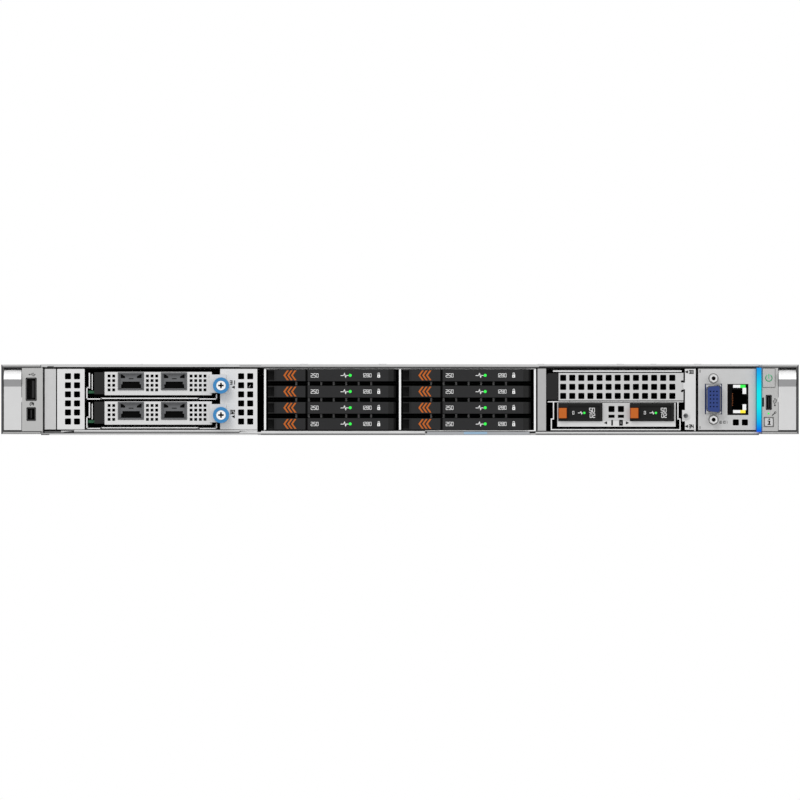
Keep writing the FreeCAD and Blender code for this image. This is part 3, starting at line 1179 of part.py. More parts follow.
def build():
    """Makes every piece."""
    chassis_tray()
    rear_panel()
    drive_bay_cover()
    top_cover()
    cover_latch()
    rail_studs()
    for side, name in ((-1, "left"), (1, "right")):
        ear(side, f"{name}_ear")
        rack_latch(side, f"{name}_latch")
    control_panels()
    push_button("power_button", POWER_BUTTON, "0.5", False)
    push_button("id_button", ID_BUTTON, "0.2", True)
    small_ports()
    status_light_bar()
    drive_cage()
    drive_backplane()
    for column in (0, 1):
        for place in range(4):
            drive(column, place)
    information_tag()
    card_bay_panels()
    for place, name in enumerate(("card_a", "card_b")):
        network_card(place, name)
        thumbscrew(place, f"{name}_screw")
    riser_bracket()
    slot_blank()
    boot_bracket()
    boot_drive("boot_a", "boot_drive_1", "boot_release_1")
    boot_drive("boot_b", "boot_drive_0", "boot_release_0")
    io_plate()
    video_port()
    network_jack()
    fan_modules()
    main_board()
    memory_modules()
    heat_sinks()
    power_supply("psu_x", "psu_1")
    power_supply("-psu_x - psu_w", "psu_2")


def check():
    """Stops if any object is in error or any shape is null or not valid."""
    faults = []
    for thing in doc.Objects:
        if {"Invalid", "Error"} & set(thing.State):
            owner = thing.getParentGeoFeatureGroup()
            faults.append(f"{thing.Name} in {owner and owner.Label}: {thing.getStatusString()}")
    for label, thing in NODES.items():
        shape = thing.Shape
        if shape.isNull() or not shape.isValid() or not shape.Solids:
            faults.append(f"{label}: no valid solid")
    if faults:
        raise RuntimeError("\n".join(faults))


def export():
    """Writes one STEP file for each node, of solids alone."""
    folder = os.path.join(os.path.dirname(os.path.abspath(__file__)), "parts")
    os.makedirs(folder, exist_ok=True)
    for label, thing in NODES.items():
        solids = thing.Shape.Solids
        shape = solids[0] if len(solids) == 1 else Part.makeCompound(solids)
        shape.exportStep(os.path.join(folder, f"{label}.step"))
        print(label, len(solids))


build()
doc.recompute()
check()
export()
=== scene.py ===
# %% [markdown]
# # 1U rack server: looks
# The imported CAD model is the fixed frame.  This script gives its nodes their finishes and adds the
# printed marks, lamps, painted shadow strips and trim that are too fine for the solids.  Sizes are in
# millimetres
# in the frame of the part: X to the right, Y to the rear, Z up.

# %%
import math
from types import SimpleNamespace

import bpy
import numpy as np
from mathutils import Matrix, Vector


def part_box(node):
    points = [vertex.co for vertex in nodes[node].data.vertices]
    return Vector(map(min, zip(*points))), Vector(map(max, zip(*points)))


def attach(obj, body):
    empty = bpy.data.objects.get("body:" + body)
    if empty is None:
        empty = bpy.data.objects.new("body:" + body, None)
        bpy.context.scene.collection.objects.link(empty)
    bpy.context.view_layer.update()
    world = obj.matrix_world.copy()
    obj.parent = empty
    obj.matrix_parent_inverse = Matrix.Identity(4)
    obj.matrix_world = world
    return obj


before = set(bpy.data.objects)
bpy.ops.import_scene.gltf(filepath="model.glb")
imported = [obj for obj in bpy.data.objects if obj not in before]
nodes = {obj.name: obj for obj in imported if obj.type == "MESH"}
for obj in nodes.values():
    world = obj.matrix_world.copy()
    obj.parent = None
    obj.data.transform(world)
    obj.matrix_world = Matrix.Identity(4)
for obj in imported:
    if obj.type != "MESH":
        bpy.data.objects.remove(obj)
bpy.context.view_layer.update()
MM = 0.001
FACE, POD_FACE, DRIVE_FACE, BLANK_FACE, BOOT_FACE = -20.0, -22.0, -21.0, -19.5, -19.6
SHEET_RIM, SHEET_FRONT, SHEET_BACK = FACE + 0.05, FACE + 1.0, FACE + 1.1
POWER_FACE, ID_FACE = -22.5, -22.2
FLOOR, ROOF, COVER_TOP = 2.3, 40.05, 42.8
CASE_HALF, POD_HALF = 217.0, 241.0


# %% [markdown]
# ## Finishes
# Every finish is procedural: a colour with a mottle and a fine relief, both sized in millimetres.

# %%
def linear(code):
    """An sRGB hex colour as linear RGBA."""
    parts = [int(code[i:i + 2], 16) / 255 for i in (1, 3, 5)]
    return [p / 12.92 if p <= 0.04045 else ((p + 0.055) / 1.055) ** 2.4 for p in parts] + [1.0]


def add(tree, kind, links=None, **values):
    """A shader node with its inputs set, joined to other nodes' outputs by links."""
    made = tree.nodes.new(kind)
    for key, value in values.items():
        name = key.replace("_", " ")
        if name in made.inputs:
            made.inputs[name].default_value = value
        else:
            setattr(made, key, value)
    for key, source in (links or {}).items():
        tree.links.new(source, made.inputs[key])
    return made


MATERIALS = {}


def finish(name, code, rough=0.5, metal=0.0, mottle=0.06, spot=3.0, grain=0.4, relief=0.1, glow=0.0,
           shine=0.5):
    """A finish: its colour darkens by the mottle in spots, over a relief of the grain's size."""
    made = bpy.data.materials.new(name)
    made.use_nodes = True
    tree = made.node_tree
    tree.nodes.clear()
    base = linear(code)
    where = add(tree, "ShaderNodeTexCoord").outputs["Object"]
    cloud = add(tree, "ShaderNodeTexNoise", {"Vector": where}, Scale=1 / (spot * MM), Detail=3.0)
    tone = add(tree, "ShaderNodeMix", {"Factor": cloud.outputs["Fac"]}, data_type="RGBA")
    tone.inputs[6].default_value = [c * (1 - mottle) for c in base[:3]] + [1.0]
    tone.inputs[7].default_value = [min(c * (1 + mottle), 1.0) for c in base[:3]] + [1.0]
    gloss = add(tree, "ShaderNodeMapRange", {"Value": cloud.outputs["Fac"]},
                To_Min=max(rough - 0.06, 0.05), To_Max=min(rough + 0.06, 1.0))
    fine = add(tree, "ShaderNodeTexNoise", {"Vector": where}, Scale=1 / (grain * MM), Detail=2.0)
    bump = add(tree, "ShaderNodeBump", {"Height": fine.outputs["Fac"]}, Strength=relief, Distance=0.0001)
    shader = add(tree, "ShaderNodeBsdfPrincipled", {
        "Base Color": tone.outputs[2], "Roughness": gloss.outputs["Result"], "Normal": bump.outputs["Normal"],
    }, Metallic=metal, Specular_IOR_Level=shine)
    if glow:
        shader.inputs["Emission Color"].default_value = base
        shader.inputs["Emission Strength"].default_value = glow
    add(tree, "ShaderNodeOutputMaterial", {"Surface": shader.outputs["BSDF"]})
    MATERIALS[name] = made
    return made


# zinc-coated and bright-plated steel: a soft spangle with a half-metal sheen; the bracket, mid edge and dark
# edge greys also serve for painted highlight, painted half-shade and painted shadow lines
finish("sheet", "#b4b6b8", rough=0.42, metal=0.55, mottle=0.12, spot=5.0, relief=0.15)
finish("panel", "#d6d6d6", rough=0.5, metal=0.1, mottle=0.03)
finish("bracket", "#d2d2d2", rough=0.45, metal=0.1, mottle=0.03)
finish("bracket_grey", "#c2c2c2", rough=0.45, metal=0.15, mottle=0.04)
finish("plate_grey", "#bfbfbf", rough=0.45, metal=0.15, mottle=0.04)
finish("flange_grey", "#acacac", rough=0.45, metal=0.2, mottle=0.04)
finish("edge", "#ececec", rough=0.4, mottle=0.02)
finish("edge_mid", "#a4a4a4", rough=0.45, metal=0.2, mottle=0.04)
finish("edge_dark", "#565656", rough=0.5, shine=0.2)
finish("plated", "#c9cbce", rough=0.3, metal=0.8, mottle=0.05)
finish("cage_metal", "#6d6e70", rough=0.35, metal=0.5, mottle=0.08, spot=1.5, shine=0.3)
finish("fin", "#c6c8ca", rough=0.3, metal=0.85)
finish("drive_case", "#8e9092", rough=0.45, metal=0.7)
# moulded plastics: matt, with a spark-eroded grain; the bright and shaded silvers are painted highlight and
# painted shade copies of the silver, and the dark, black and darker drive finishes also serve as painted
# shade in holes, recesses and gaps
finish("pod_grey", "#afafae", rough=0.55, mottle=0.03, relief=0.2)
finish("pod_edge", "#474747", rough=0.5, shine=0.2)
finish("silver", "#cfcfcf", rough=0.38, metal=0.2, mottle=0.02)
# painted highlight and painted shade: lighter and darker copies of the latch silver
finish("silver_painted_highlight", "#eaeaea", rough=0.3, mottle=0.01)
finish("silver_painted_shade", "#a9a9aa", rough=0.5, mottle=0.02)
finish("dark", "#1e1e1e", rough=0.5, relief=0.2, shine=0.2)
finish("black", "#060606", rough=0.7, shine=0.05)
finish("drive", "#1f1f20", rough=0.45, mottle=0.08, relief=0.25, shine=0.25)
finish("drive_dark", "#141414", rough=0.5, relief=0.25, shine=0.2)
finish("post", "#6e6e6e", rough=0.5, shine=0.3)
finish("white", "#eeeeee", rough=0.5, mottle=0.02)
finish("orange", "#b24d07", rough=0.45, relief=0.2, shine=0.3)
finish("blue_ring", "#2f7cb4", rough=0.45, relief=0.25, shine=0.4)
finish("blue_port", "#243a78", rough=0.5, shine=0.3)
finish("tag", "#9d9fa2", rough=0.4)
finish("tag_blue", "#8eabc2", rough=0.4)
# circuit boards, gold contacts and inks; the gold, the chevrons and the light ink carry a faint painted glow,
# though none of them is a lamp
finish("pcb", "#14603a", rough=0.4, spot=1.2, mottle=0.2)
finish("memory", "#17472a", rough=0.4, spot=1.2, mottle=0.2)
# painted light: a faint glow brightens the gold, the chevrons and the light ink
finish("gold", "#8a4a1e", rough=0.35, metal=0.3, glow=0.12)
finish("chevron", "#b05a1c", rough=0.5, glow=0.1, shine=0.2)
finish("ink", "#e2e2e2", rough=0.6, glow=0.12, shine=0.1)
finish("print", "#444444", rough=0.7, shine=0.1)
finish("print_dark", "#101010", rough=0.7, shine=0.1)
finish("lamp_green", "#1fce3c", glow=0.55)
finish("lamp_yellow", "#e2cc28", glow=0.4)
finish("power_green", "#22b074", glow=0.15)

# the light bar glows cyan in its middle and blue towards its ends
glow = finish("light_bar", "#000000", rough=0.6, shine=0.0)
tree = glow.node_tree
shader = next(n for n in tree.nodes if n.type == "BSDF_PRINCIPLED")
height = add(tree, "ShaderNodeSeparateXYZ", {"Vector": add(tree, "ShaderNodeTexCoord").outputs["Object"]})
span = add(tree, "ShaderNodeMapRange", {"Value": height.outputs["Z"]}, From_Min=0.002, From_Max=0.041)
ramp = add(tree, "ShaderNodeValToRGB", {"Fac": span.outputs["Result"]})
for spot, code in ((0.0, "#0a5cf0"), (0.14, "#12b0f3"), (0.4, "#1aeaf2"), (0.62, "#1aeaf2"),
                   (1.0, "#1f9cf5")):
    stop = ramp.color_ramp.elements[0] if spot == 0 else (
        ramp.color_ramp.elements[-1] if spot == 1.0 else ramp.color_ramp.elements.new(spot))
    stop.color = linear(code)
tree.links.new(ramp.outputs["Color"], shader.inputs["Emission Color"])
shader.inputs["Emission Strength"].default_value = 0.95


def faces(node):
    """Where a node's faces lie in millimetres, their normals, and which face forward or wall in a hole."""
    mesh = nodes[node].data
    centres, normals = np.zeros(len(mesh.polygons) * 3), np.zeros(len(mesh.polygons) * 3)
    mesh.polygons.foreach_get("center", centres)
    mesh.polygons.foreach_get("normal", normals)
    x, y, z = centres.reshape(-1, 3).T / MM
    nx, ny, nz = normals.reshape(-1, 3).T
    return SimpleNamespace(x=x, y=y, z=z, nx=nx, ny=ny, nz=nz, front=ny < -0.9, wall=abs(ny) < 0.5)


def paint(node, base, *areas):
    """Gives a node one finish, and others to the faces f that each test picks out."""
    mesh = nodes[node].data
    mesh.materials.clear()
    mesh.materials.append(MATERIALS[base])
    index = np.zeros(len(mesh.polygons), np.int32)
    where = faces(node)
    for finish_name, test in areas:
        mesh.materials.append(MATERIALS[finish_name])
        index[test(where)] = len(mesh.materials) - 1
    mesh.polygons.foreach_set("material_index", index)
    mesh.update()


def bounds_of(node):
    """A node's lowest and highest corners in millimetres."""
    low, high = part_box(node)
    return [v / MM for v in low], [v / MM for v in high]


# %% [markdown]
# ## Flat marks and trim

# %%
def rect(x0, z0, x1, z1):
    """A rectangle's corners."""
    return [(x0, z0), (x1, z0), (x1, z1), (x0, z1)]


def disc(x, z, radius, sides=20):
    """A round outline."""
    turns = np.arange(sides) * math.tau / sides
    return [(x + radius * math.cos(t), z + radius * math.sin(t)) for t in turns]


def rounded(x0, z0, x1, z1, radius, steps=4):
    """A rectangle with round corners."""
    corners = []
    for x, z, start in ((x1 - radius, z0 + radius, -90), (x1 - radius, z1 - radius, 0),
                        (x0 + radius, z1 - radius, 90), (x0 + radius, z0 + radius, 180)):
        turns = np.radians(np.linspace(start, start + 90, steps + 1))
        corners += [(x + radius * math.cos(t), z + radius * math.sin(t)) for t in turns]
    return corners


def line(points, width, closed=False):
    """A stroke along points, as one quadrilateral for each run."""
    runs = []
    ends = points[1:] + points[:1] if closed else points[1:]
    for (x0, z0), (x1, z1) in zip(points, ends):
        length = math.hypot(x1 - x0, z1 - z0) or 1
        across = ((z0 - z1) / length * width / 2, (x1 - x0) / length * width / 2)
        along = (across[1] * 0.9, -across[0] * 0.9)
        a, b = (x0 - along[0], z0 - along[1]), (x1 + along[0], z1 + along[1])
        runs.append([(a[0] + across[0], a[1] + across[1]), (a[0] - across[0], a[1] - across[1]),
                     (b[0] - across[0], b[1] - across[1]), (b[0] + across[0], b[1] + across[1])])
    return runs


def arc(x, z, radius, start, end, width, steps=14):
    """A curved stroke, its angles in degrees."""
    turns = np.radians(np.linspace(start, end, steps + 1))
    return line([(x + radius * math.cos(t), z + radius * math.sin(t)) for t in turns], width)


SEGMENTS = {"0": "abcdef", "1": "bc", "2": "abged", "3": "abgcd", "4": "fgbc", "5": "afgcd", "8": "abcdefg"}
CORNERS = {"a": (0, 2, 1, 2), "b": (1, 2, 1, 1), "c": (1, 1, 1, 0), "d": (0, 0, 1, 0),
           "e": (0, 0, 0, 1), "f": (0, 1, 0, 2), "g": (0, 1, 1, 1)}


def figures(text, x, z, tall, stroke=0.14):
    """Plain stroke figures in a row."""
    strokes = []
    for place, figure in enumerate(text):
        left = x + place * tall * 0.74
        for part in SEGMENTS[figure]:
            x0, z0, x1, z1 = (v * tall / 2 for v in CORNERS[part])
            strokes += line([(left + x0, z + z0), (left + x1, z + z1)], tall * stroke)
    return strokes


def marks(name, body, base, shapes, level, thick=0.12, side="front"):
    """Thin raised shapes on a face: outlines in X and Z on the front or rear, in X and Y on top."""
    corners, polygons = [], []
    sign = {"front": -1, "rear": 1, "top": 1}[side]
    for shape in shapes:
        area = sum(x0 * z1 - x1 * z0 for (x0, z0), (x1, z1) in zip(shape, shape[1:] + shape[:1]))
        if (area < 0) != (side == "rear"):
            shape = shape[::-1]
        first, count = len(corners), len(shape)
        for reach in (0.0, thick * sign):
            for u, v in shape:
                corners.append((u, v, level + reach) if side == "top" else (u, level + reach, v))
        polygons.append([first + count + i for i in range(count)])
        polygons.append([first + count - 1 - i for i in range(count)])
        for i in range(count):
            j = (i + 1) % count
            polygons.append([first + i, first + j, first + count + j, first + count + i])
    mesh = bpy.data.meshes.new(name)
    mesh.from_pydata([tuple(c * MM for c in corner) for corner in corners], [], polygons)
    mesh.materials.append(MATERIALS[base])
    mesh.update()
    made = bpy.data.objects.new(name, mesh)
    bpy.context.scene.collection.objects.link(made)
    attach(made, body)
    return made


def fillet(u, v, right, up, radius, steps=4):
    """The sliver that rounds a square corner whose sides run to the right or left and up or down."""
    turns = np.linspace(0, math.pi / 2, steps)
    return [(u, v)] + [(u + right * radius * (1 - math.sin(t)), v + up * radius * (1 - math.cos(t)))
                       for t in turns]


def hole_corners(node, size, radius, level):
    """The fillets that round the corners of a node's square holes of one size."""
    mesh = nodes[node].data
    spots = np.array([vertex.co for vertex in mesh.vertices]) / MM
    found = set()
    for polygon in mesh.polygons:
        corner = spots[list(polygon.vertices)]
        low, high = corner.min(0), corner.max(0)
        if polygon.normal.x > 0.9 and abs(high[2] - low[2] - size) < 0.06 and abs(low[1] - level) < 0.6:
            found.add((round(float(low[0]), 2), round(float(low[2]), 2)))
    shapes = []
    for x, z in sorted(found):
        for right, up in ((1, 1), (-1, 1), (-1, -1), (1, -1)):
            shapes.append(fillet(x + size * (right < 0), z + size * (up < 0), right, up, radius))
    return shapes


# %% [markdown]
# ## Case, ears and covers

# %%
POD_RIM, PANEL_FOLD, RISER_FLANGE = 239.75, -207.6, 88.7
paint("chassis_tray", "sheet", ("edge_mid", lambda f: f.front & (f.y < SHEET_FRONT)))
paint("drive_bay_cover", "sheet", ("bracket_grey", lambda f: f.front & (f.y < SHEET_FRONT)))
paint("top_cover", "sheet")
paint("rear_panel", "sheet")
paint("cover_latch", "dark")
paint("rail_studs", "plated")
for name in ("left_ear", "right_ear"):
    paint(name, "sheet")
# the latch faces that tilt up take a painted highlight, those that tilt down a painted shade
for name in ("left_latch", "right_latch"):
    paint(name, "silver",
          ("silver_painted_shade", lambda f: (f.nz < -0.3) & (f.ny < -0.2)),
          ("silver_painted_highlight", lambda f: (f.nz > 0.15) & (f.ny < -0.2)))
for name in ("left_control_panel", "right_control_panel"):
    paint(name, "pod_grey", ("pod_edge", lambda f: abs(f.x) > POD_RIM))
for name in ("power_button", "id_button"):
    paint(name, "pod_grey")
paint("status_light_bar", "light_bar")
# painted shade: the walls behind the front, the sheet behind them and the sills above the roof and below the
# floor are painted dark
paint("card_bay_panels", "panel",
      ("bracket_grey", lambda f: f.x < PANEL_FOLD),
      ("dark", lambda f: (f.y > SHEET_RIM) & f.wall | (f.y > SHEET_BACK) | (f.z > ROOF) | (f.z < FLOOR)))
# painted shade: the cage and its shelves are painted black so the gaps between the drives read dark
paint("drive_cage", "black",
      ("edge", lambda f: f.front & (f.y < SHEET_FRONT)),
      ("post", lambda f: (f.y < -16.1) & (f.y > -18.2) & (abs(f.x) > 1) & (abs(f.x) < 80.5)))
# painted shade: the faces behind the front and the sills above the roof and below the floor are painted dark
paint("riser_bracket", "bracket",
      ("dark", lambda f: (f.y > SHEET_BACK) & ~f.front | (f.z > ROOF) | (f.z < FLOOR)),
      ("edge", lambda f: f.front & (f.y > SHEET_BACK) & (f.y < -18)),
      ("flange_grey", lambda f: (f.x < RISER_FLANGE) & (f.y < SHEET_BACK) & (f.z > FLOOR) & (f.z < ROOF)),
      ("cage_metal", lambda f: (f.y < -20.9) | (f.y < -20.3) & (abs(f.nx) + abs(f.nz) > 0.5)))
# painted shade: the walls of the holes, the sheet behind and the strip along the bottom are painted dark
paint("io_plate", "plate_grey",
      ("dark", lambda f: (f.y > SHEET_RIM) & f.wall | (f.y > SHEET_BACK) | (f.z < 2.9)))
# painted shade: the faces behind the front and the walls of the upper holes are painted dark
paint("boot_bracket", "plate_grey",
      ("bracket", lambda f: f.front & (f.z < 8.0) & (f.y < SHEET_FRONT)),
      ("dark", lambda f: (f.y > -18.3) | f.wall & (f.z > 8.5)))
BLANK_BLOCK, BOARD_TOP = 7.1, 6.9
low, high = bounds_of("slot_blank")
# painted shade: the walls of the front holes are painted dark, as is the block at the left end
paint("slot_blank", "bracket_grey",
      ("sheet", lambda f: f.y > -17),
      ("dark", lambda f: (f.x < low[0] + BLANK_BLOCK) | f.wall & (f.y < -17) & (f.z < high[2] - 0.3)))
paint("mainboard", "pcb", ("dark", lambda f: f.z > BOARD_TOP))
paint("drive_backplane", "pcb")
paint("memory_modules", "memory")
paint("heatsinks", "fin")
paint("fan_modules", "dark")
paint("information_tag", "tag", ("edge", lambda f: f.nz > 0.9))

# guard rings on the fans, a black sheet of painted shade behind the riser bay and a grille behind the rear
# vents
FANS, GUARD_WIRE = 8, 1.3
low, high = bounds_of("fan_modules")
fan_pitch, fan_rear = (high[0] - low[0]) / FANS, high[1]
guards = []
for place in range(FANS):
    middle = (low[0] + fan_pitch * (place + 0.5), (low[2] + high[2]) / 2)
    for radius, sides in ((15.2, 24), (11.4, 20)):
        guards += line(disc(*middle, radius, sides), GUARD_WIRE, closed=True)
marks("fan_guards", "chassis", "dark", guards, fan_rear, 0.8, side="rear")
marks("riser_painted_shade", "chassis", "black", [rect(92, 35.5, 171, 40.0)], -1.0, 0.3)
GRILLE_PITCH, GRILLE_BAR, GRILLE_EDGE = 2.4, 0.9, 4
low, high = bounds_of("rear_panel")
bars = [rect(x, low[2] + GRILLE_EDGE, x + GRILLE_BAR, high[2] - GRILLE_EDGE)
        for x in np.arange(low[0] + GRILLE_EDGE, high[0] - GRILLE_EDGE, GRILLE_PITCH)]
marks("rear_screen", "chassis", "dark", bars, high[1] - 3.0, 0.5, side="rear")

# round corners in the square vents, level with the sheet round them
VENT, VENT_RADIUS = 3.7, 0.5
for name, level, base in (("card_bay_panels", FACE, "panel"), ("slot_blank", BLANK_FACE, "bracket_grey"),
                          ("io_plate", FACE, "plate_grey"), ("boot_bracket", BOOT_FACE, "plate_grey")):
    marks(f"{name}_vent_corners", "chassis", base,
          hole_corners(name, VENT, VENT_RADIUS, level), level + 0.5, 0.5)

# painted shadow: black strips in the gaps along the cover's and the tray's front edges, and painted shadow,
# half-shade and highlight lines on the folds beside them
EDGE = FACE - 0.1
painted_shadow_gaps = [rect(-216.2, 40.25, 217.0, 41.05), rect(-214.9, 2.35, -205.0, 3.3), rect(-82.0, 2.5, 15.2, 3.1),
           rect(-205.0, 2.75, -197.0, 3.3), rect(180.2, 2.35, 215.2, 2.95), rect(83.2, 2.35, 91.0, 2.6)]
marks("painted_shadow_gaps", "chassis", "black", painted_shadow_gaps, EDGE + 0.05, 0.1)
# painted shadow lines along the folds and edges
painted_shadow_lines = [rect(-197, 1.2, -97, 1.8), rect(-197, 3.05, -97, 3.35), rect(82, 0.0, POD_HALF - 24, 0.55),
              rect(82, 1.85, POD_HALF - 24, 2.35), rect(-84, 0.0, 15.2, 0.55), rect(-214.9, 1.25, -205, 2.35),
              rect(84, 41.05, 217, 41.7), rect(-213.2, 41.05, -209.4, 41.7), rect(-216.9, 0.0, -212.0, 0.55)]
marks("shadow_line_marks", "chassis", "edge_dark", painted_shadow_lines, EDGE + 0.04, 0.1)
# painted half-shade on the folds
painted_half_shade_lines = [rect(-197, 0.6, -97, 1.2), rect(-84, 41.05, 84, 41.7), rect(-97, 41.05, -84, 42.3),
              rect(-197, 1.8, -97, 2.35), rect(-97, 0.6, -84, 1.2)]
marks("painted_half_shade_lines", "chassis", "edge_mid", painted_half_shade_lines, EDGE + 0.03, 0.1)
# painted highlight along the folds
painted_highlight_lines = [rect(-197, 2.35, -97, 3.0), rect(-84, 1.2, 15.2, 2.45), rect(-212, 0.0, -86, 0.55),
                rect(-97, 1.2, -84, 1.8), rect(82, 1.2, 217, 1.85)]
marks("painted_highlight_lines", "chassis", "bracket", painted_highlight_lines, EDGE + 0.02, 0.1)
# painted shadow lines along the top and bottom edges of the pods
pod_shadow_lines = []
for side in (-1, 1):
    inner, outer = side * (CASE_HALF + 0.4), side * (POD_HALF - 0.1)
    left, right = min(inner, outer), max(inner, outer)
    pod_shadow_lines += [rect(left, low, right, high) for low, high in ((40.75, 41.5), (1.75, 2.35), (0.62, 0.95))]
marks("pod_shadow_lines", "chassis", "edge_dark", pod_shadow_lines, POD_FACE, 0.06)
marks("pod_edges", "chassis", "pod_edge",
      [rect(-POD_HALF, 0.7, 0.5 - POD_HALF, 42.5), rect(POD_HALF - 0.5, 0.7, POD_HALF, 42.5)], POD_FACE, 0.06)
embosses = [(84.0, 4.0), (132.2, 4.3), (152.8, 3.5), (179.5, 4.3), (-61.0, 4.8), (-13.0, 4.8), (-158.0, 1.0),
            (-106.4, 1.0), (201.2, 0.8)]
marks("cover_embosses", "chassis", "bracket",
      [rounded(x, 26.0, x + wide, 30.0, min(wide, 4.0) * 0.3) for x, wide in embosses],
      COVER_TOP, 0.45, side="top")

# %% [markdown]
# ## Drives

# %%
DRIVE_SEAM, CHEVRON_PITCH, CHEVRON_REACH = 24.2, 2.3, 2.95
PULSE = [(44.4, 3.4), (46.0, 3.4), (46.6, 4.9), (47.2, 2.1), (47.7, 3.6), (48.8, 3.4)]
LOCK_BOW = [(66.8, 3.9), (66.8, 5.0), (67.7, 5.0), (67.7, 3.9)]
for number in range(8):
    name = f"drive_{number}"
    low, high = bounds_of(name)
    left, base = low[0], low[2]
    middle = base + 3.55
    # painted shade: the drive's right end, its top and bottom and the recess beside the slider are painted a
    # darker grey
    paint(name, "drive",
          ("drive_case", lambda f: f.y > -10),
          ("drive_dark", lambda f: (f.nx > 0.1) & (f.ny < -0.1) | (f.x < left + DRIVE_SEAM) & (f.y < -13)
           | (abs(f.nz) > 0.5)))
    # painted shade on the release's sides
    paint(f"{name}_release", "drive", ("drive_dark", lambda f: ~f.front))
    chevrons = []
    for step in range(3):
        tip = left + 9.6 + step * CHEVRON_PITCH
        for turn in (1, -1):
            end = middle + turn * CHEVRON_REACH
            chevrons.append([(tip, middle), (tip + 1.15, middle), (tip + 3.3, end), (tip + 2.15, end)])
    marks(f"{name}_chevrons", f"{name}_release", "chevron", chevrons, DRIVE_FACE, 0.08)
    writing = figures("250", left + 26.3, base + 2.4, 2.2, 0.13)
    writing += figures("1280", left + 57.0, base + 2.5, 2.1, 0.13)
    pulse = line([(left + u, base + v) for u, v in PULSE], 0.38)
    lock = [rect(left + 66.4, base + 2.2, left + 68.1, base + 3.9)]
    lock += line([(left + u, base + v) for u, v in LOCK_BOW], 0.32)
    marks(f"{name}_print", name, "ink", writing + pulse + lock, DRIVE_FACE, 0.06)
    marks(f"{name}_keyhole", name, "black",
          [rect(left + 67.05, base + 2.6, left + 67.45, base + 3.4)], DRIVE_FACE - 0.06, 0.04)
    marks(f"{name}_lamp", name, "lamp_green", [disc(left + 50.0, middle, 0.92)], DRIVE_FACE)
    # painted shade: a black strip behind the gap between the slider and the label
    marks(f"{name}_seam", name, "black",
          [rect(left + 23.0, base + 0.1, left + 24.5, base + 6.9)], DRIVE_FACE + 1.0, 0.1)

# %% [markdown]
# ## Network cards

# %%
CAGE_SPANS = ((-170.5, -154.9), (-144.4, -128.8))
CAGE_WIDTH, CAGE_RIM = 14.5, 1.2
GUIDE_WIRE = 0.65


def in_cages(f):
    """Which faces lie within the width of a card's two transceiver cages."""
    return sum((f.x > left) & (f.x < right) for left, right in CAGE_SPANS) > 0


guides = []
for name in ("card_a", "card_b"):
    low, high = bounds_of(name)
    base = low[2]
    # painted shade: the walls of the bracket's vents are painted dark
    paint(name, "bracket",
          ("dark", lambda f: f.wall & (f.y < -18.2) & (f.y > -19.55) & (f.z > base + 1.2)
           & (f.z < base + 15.0)),
          ("sheet", lambda f: (f.y > -15.4) & (f.x > -178)),
          ("dark", lambda f: (f.x < -178.6) & (f.x > -185) & (f.y < -16.5)),
          ("pcb", lambda f: (f.y > -17.5) & (f.z > base + 1.0) & (f.z < base + 2.8)),
          ("cage_metal", lambda f: (f.y < -20.1) & (f.z > base + 3) & (f.x < -128)
           | (f.y > -20.3) & (f.y < 31) & (f.z > base + 3.1) & (f.z < base + 13.7) & in_cages(f)))
    for number, x in ((1, -169.9), (2, -143.8)):
        end, near, far = x + CAGE_WIDTH, x + CAGE_RIM, x + CAGE_WIDTH - CAGE_RIM
        shade = [rect(x, base + 8.2, end, base + 13.2), rect(x, base + 3.6, near, base + 8.2),
                 rect(far, base + 3.6, end, base + 8.2), rect(x, base + 3.4, end, base + 4.1),
                 rect(near, base + 6.6, near + 0.8, base + 8.2), rect(far - 0.8, base + 6.6, far, base + 8.2)]
        marks(f"{name}_cage_{number}_shutter", name, "cage_metal", shade, -17.5, 0.5)
        # painted shade: black patches in the shutter's windows and in the cage's mouth
        window = [(1.0, 12.5), (1.8, 12.5), (3.7, 11.3), (3.7, 10.3), (1.0, 10.3)]
        windows = [[(x + u, base + v) for u, v in window], [(end - u, base + v) for u, v in window],
                   rect(x + 5.8, base + 9.7, x + 8.7, base + 10.2)]
        marks(f"{name}_cage_{number}_windows", name, "black", windows, -18.0, 0.1)
        marks(f"{name}_cage_{number}_mouth", name, "black",
              [rect(near, base + 4.1, far, base + 8.2)], -17.0, 0.1)
    edges = [rect(-186.4, base + 3.2, -185.9, base + 12.7), rect(-187.9, base + 4.0, -187.5, base + 12.9)]
    marks(f"{name}_edge", name, "edge", edges, -16.0, 2.6)
    floor, crank, right = base - 2.3, base + 4.6, -111.0
    guides += line([(-187.9, base + 13.2), (-187.9, crank), (-189.4, crank), (-189.4, floor), (-181.0, floor),
                    (-180.6, floor + 0.4), (-122.0, floor + 0.4), (-121.6, floor), (right, floor),
                    (right, base + 0.3)], GUIDE_WIRE)
    low, high = bounds_of(f"{name}_screw")
    x, z, head = (low[0] + high[0]) / 2, (low[2] + high[2]) / 2, low[1]
    # painted shade: the deep faces inside the head's recess are painted black
    paint(f"{name}_screw", "blue_ring",
          ("white", lambda f: np.hypot(f.x - x, f.z - z) < 2.95),
          ("black", lambda f: (np.hypot(f.x - x, f.z - z) < 2.6) & (f.y > head + 1.4)))
    marks(f"{name}_screw_head", f"{name}_screw", "white", [disc(x, z, 2.85, 28)],
          head + 0.7, 0.5)
    cross = [rect(x - 1.7, z - 0.5, x + 1.7, z + 0.5), rect(x - 0.5, z - 1.7, x + 0.5, z + 1.7),
             disc(x, z, 0.85, 8)]
    marks(f"{name}_screw_cross", f"{name}_screw", "black", cross, head + 0.2, 0.03)
marks("card_guides", "chassis", "edge", guides, -8.0, 10.2)

# %% [markdown]
# ## Front connectors, lamps and printed marks

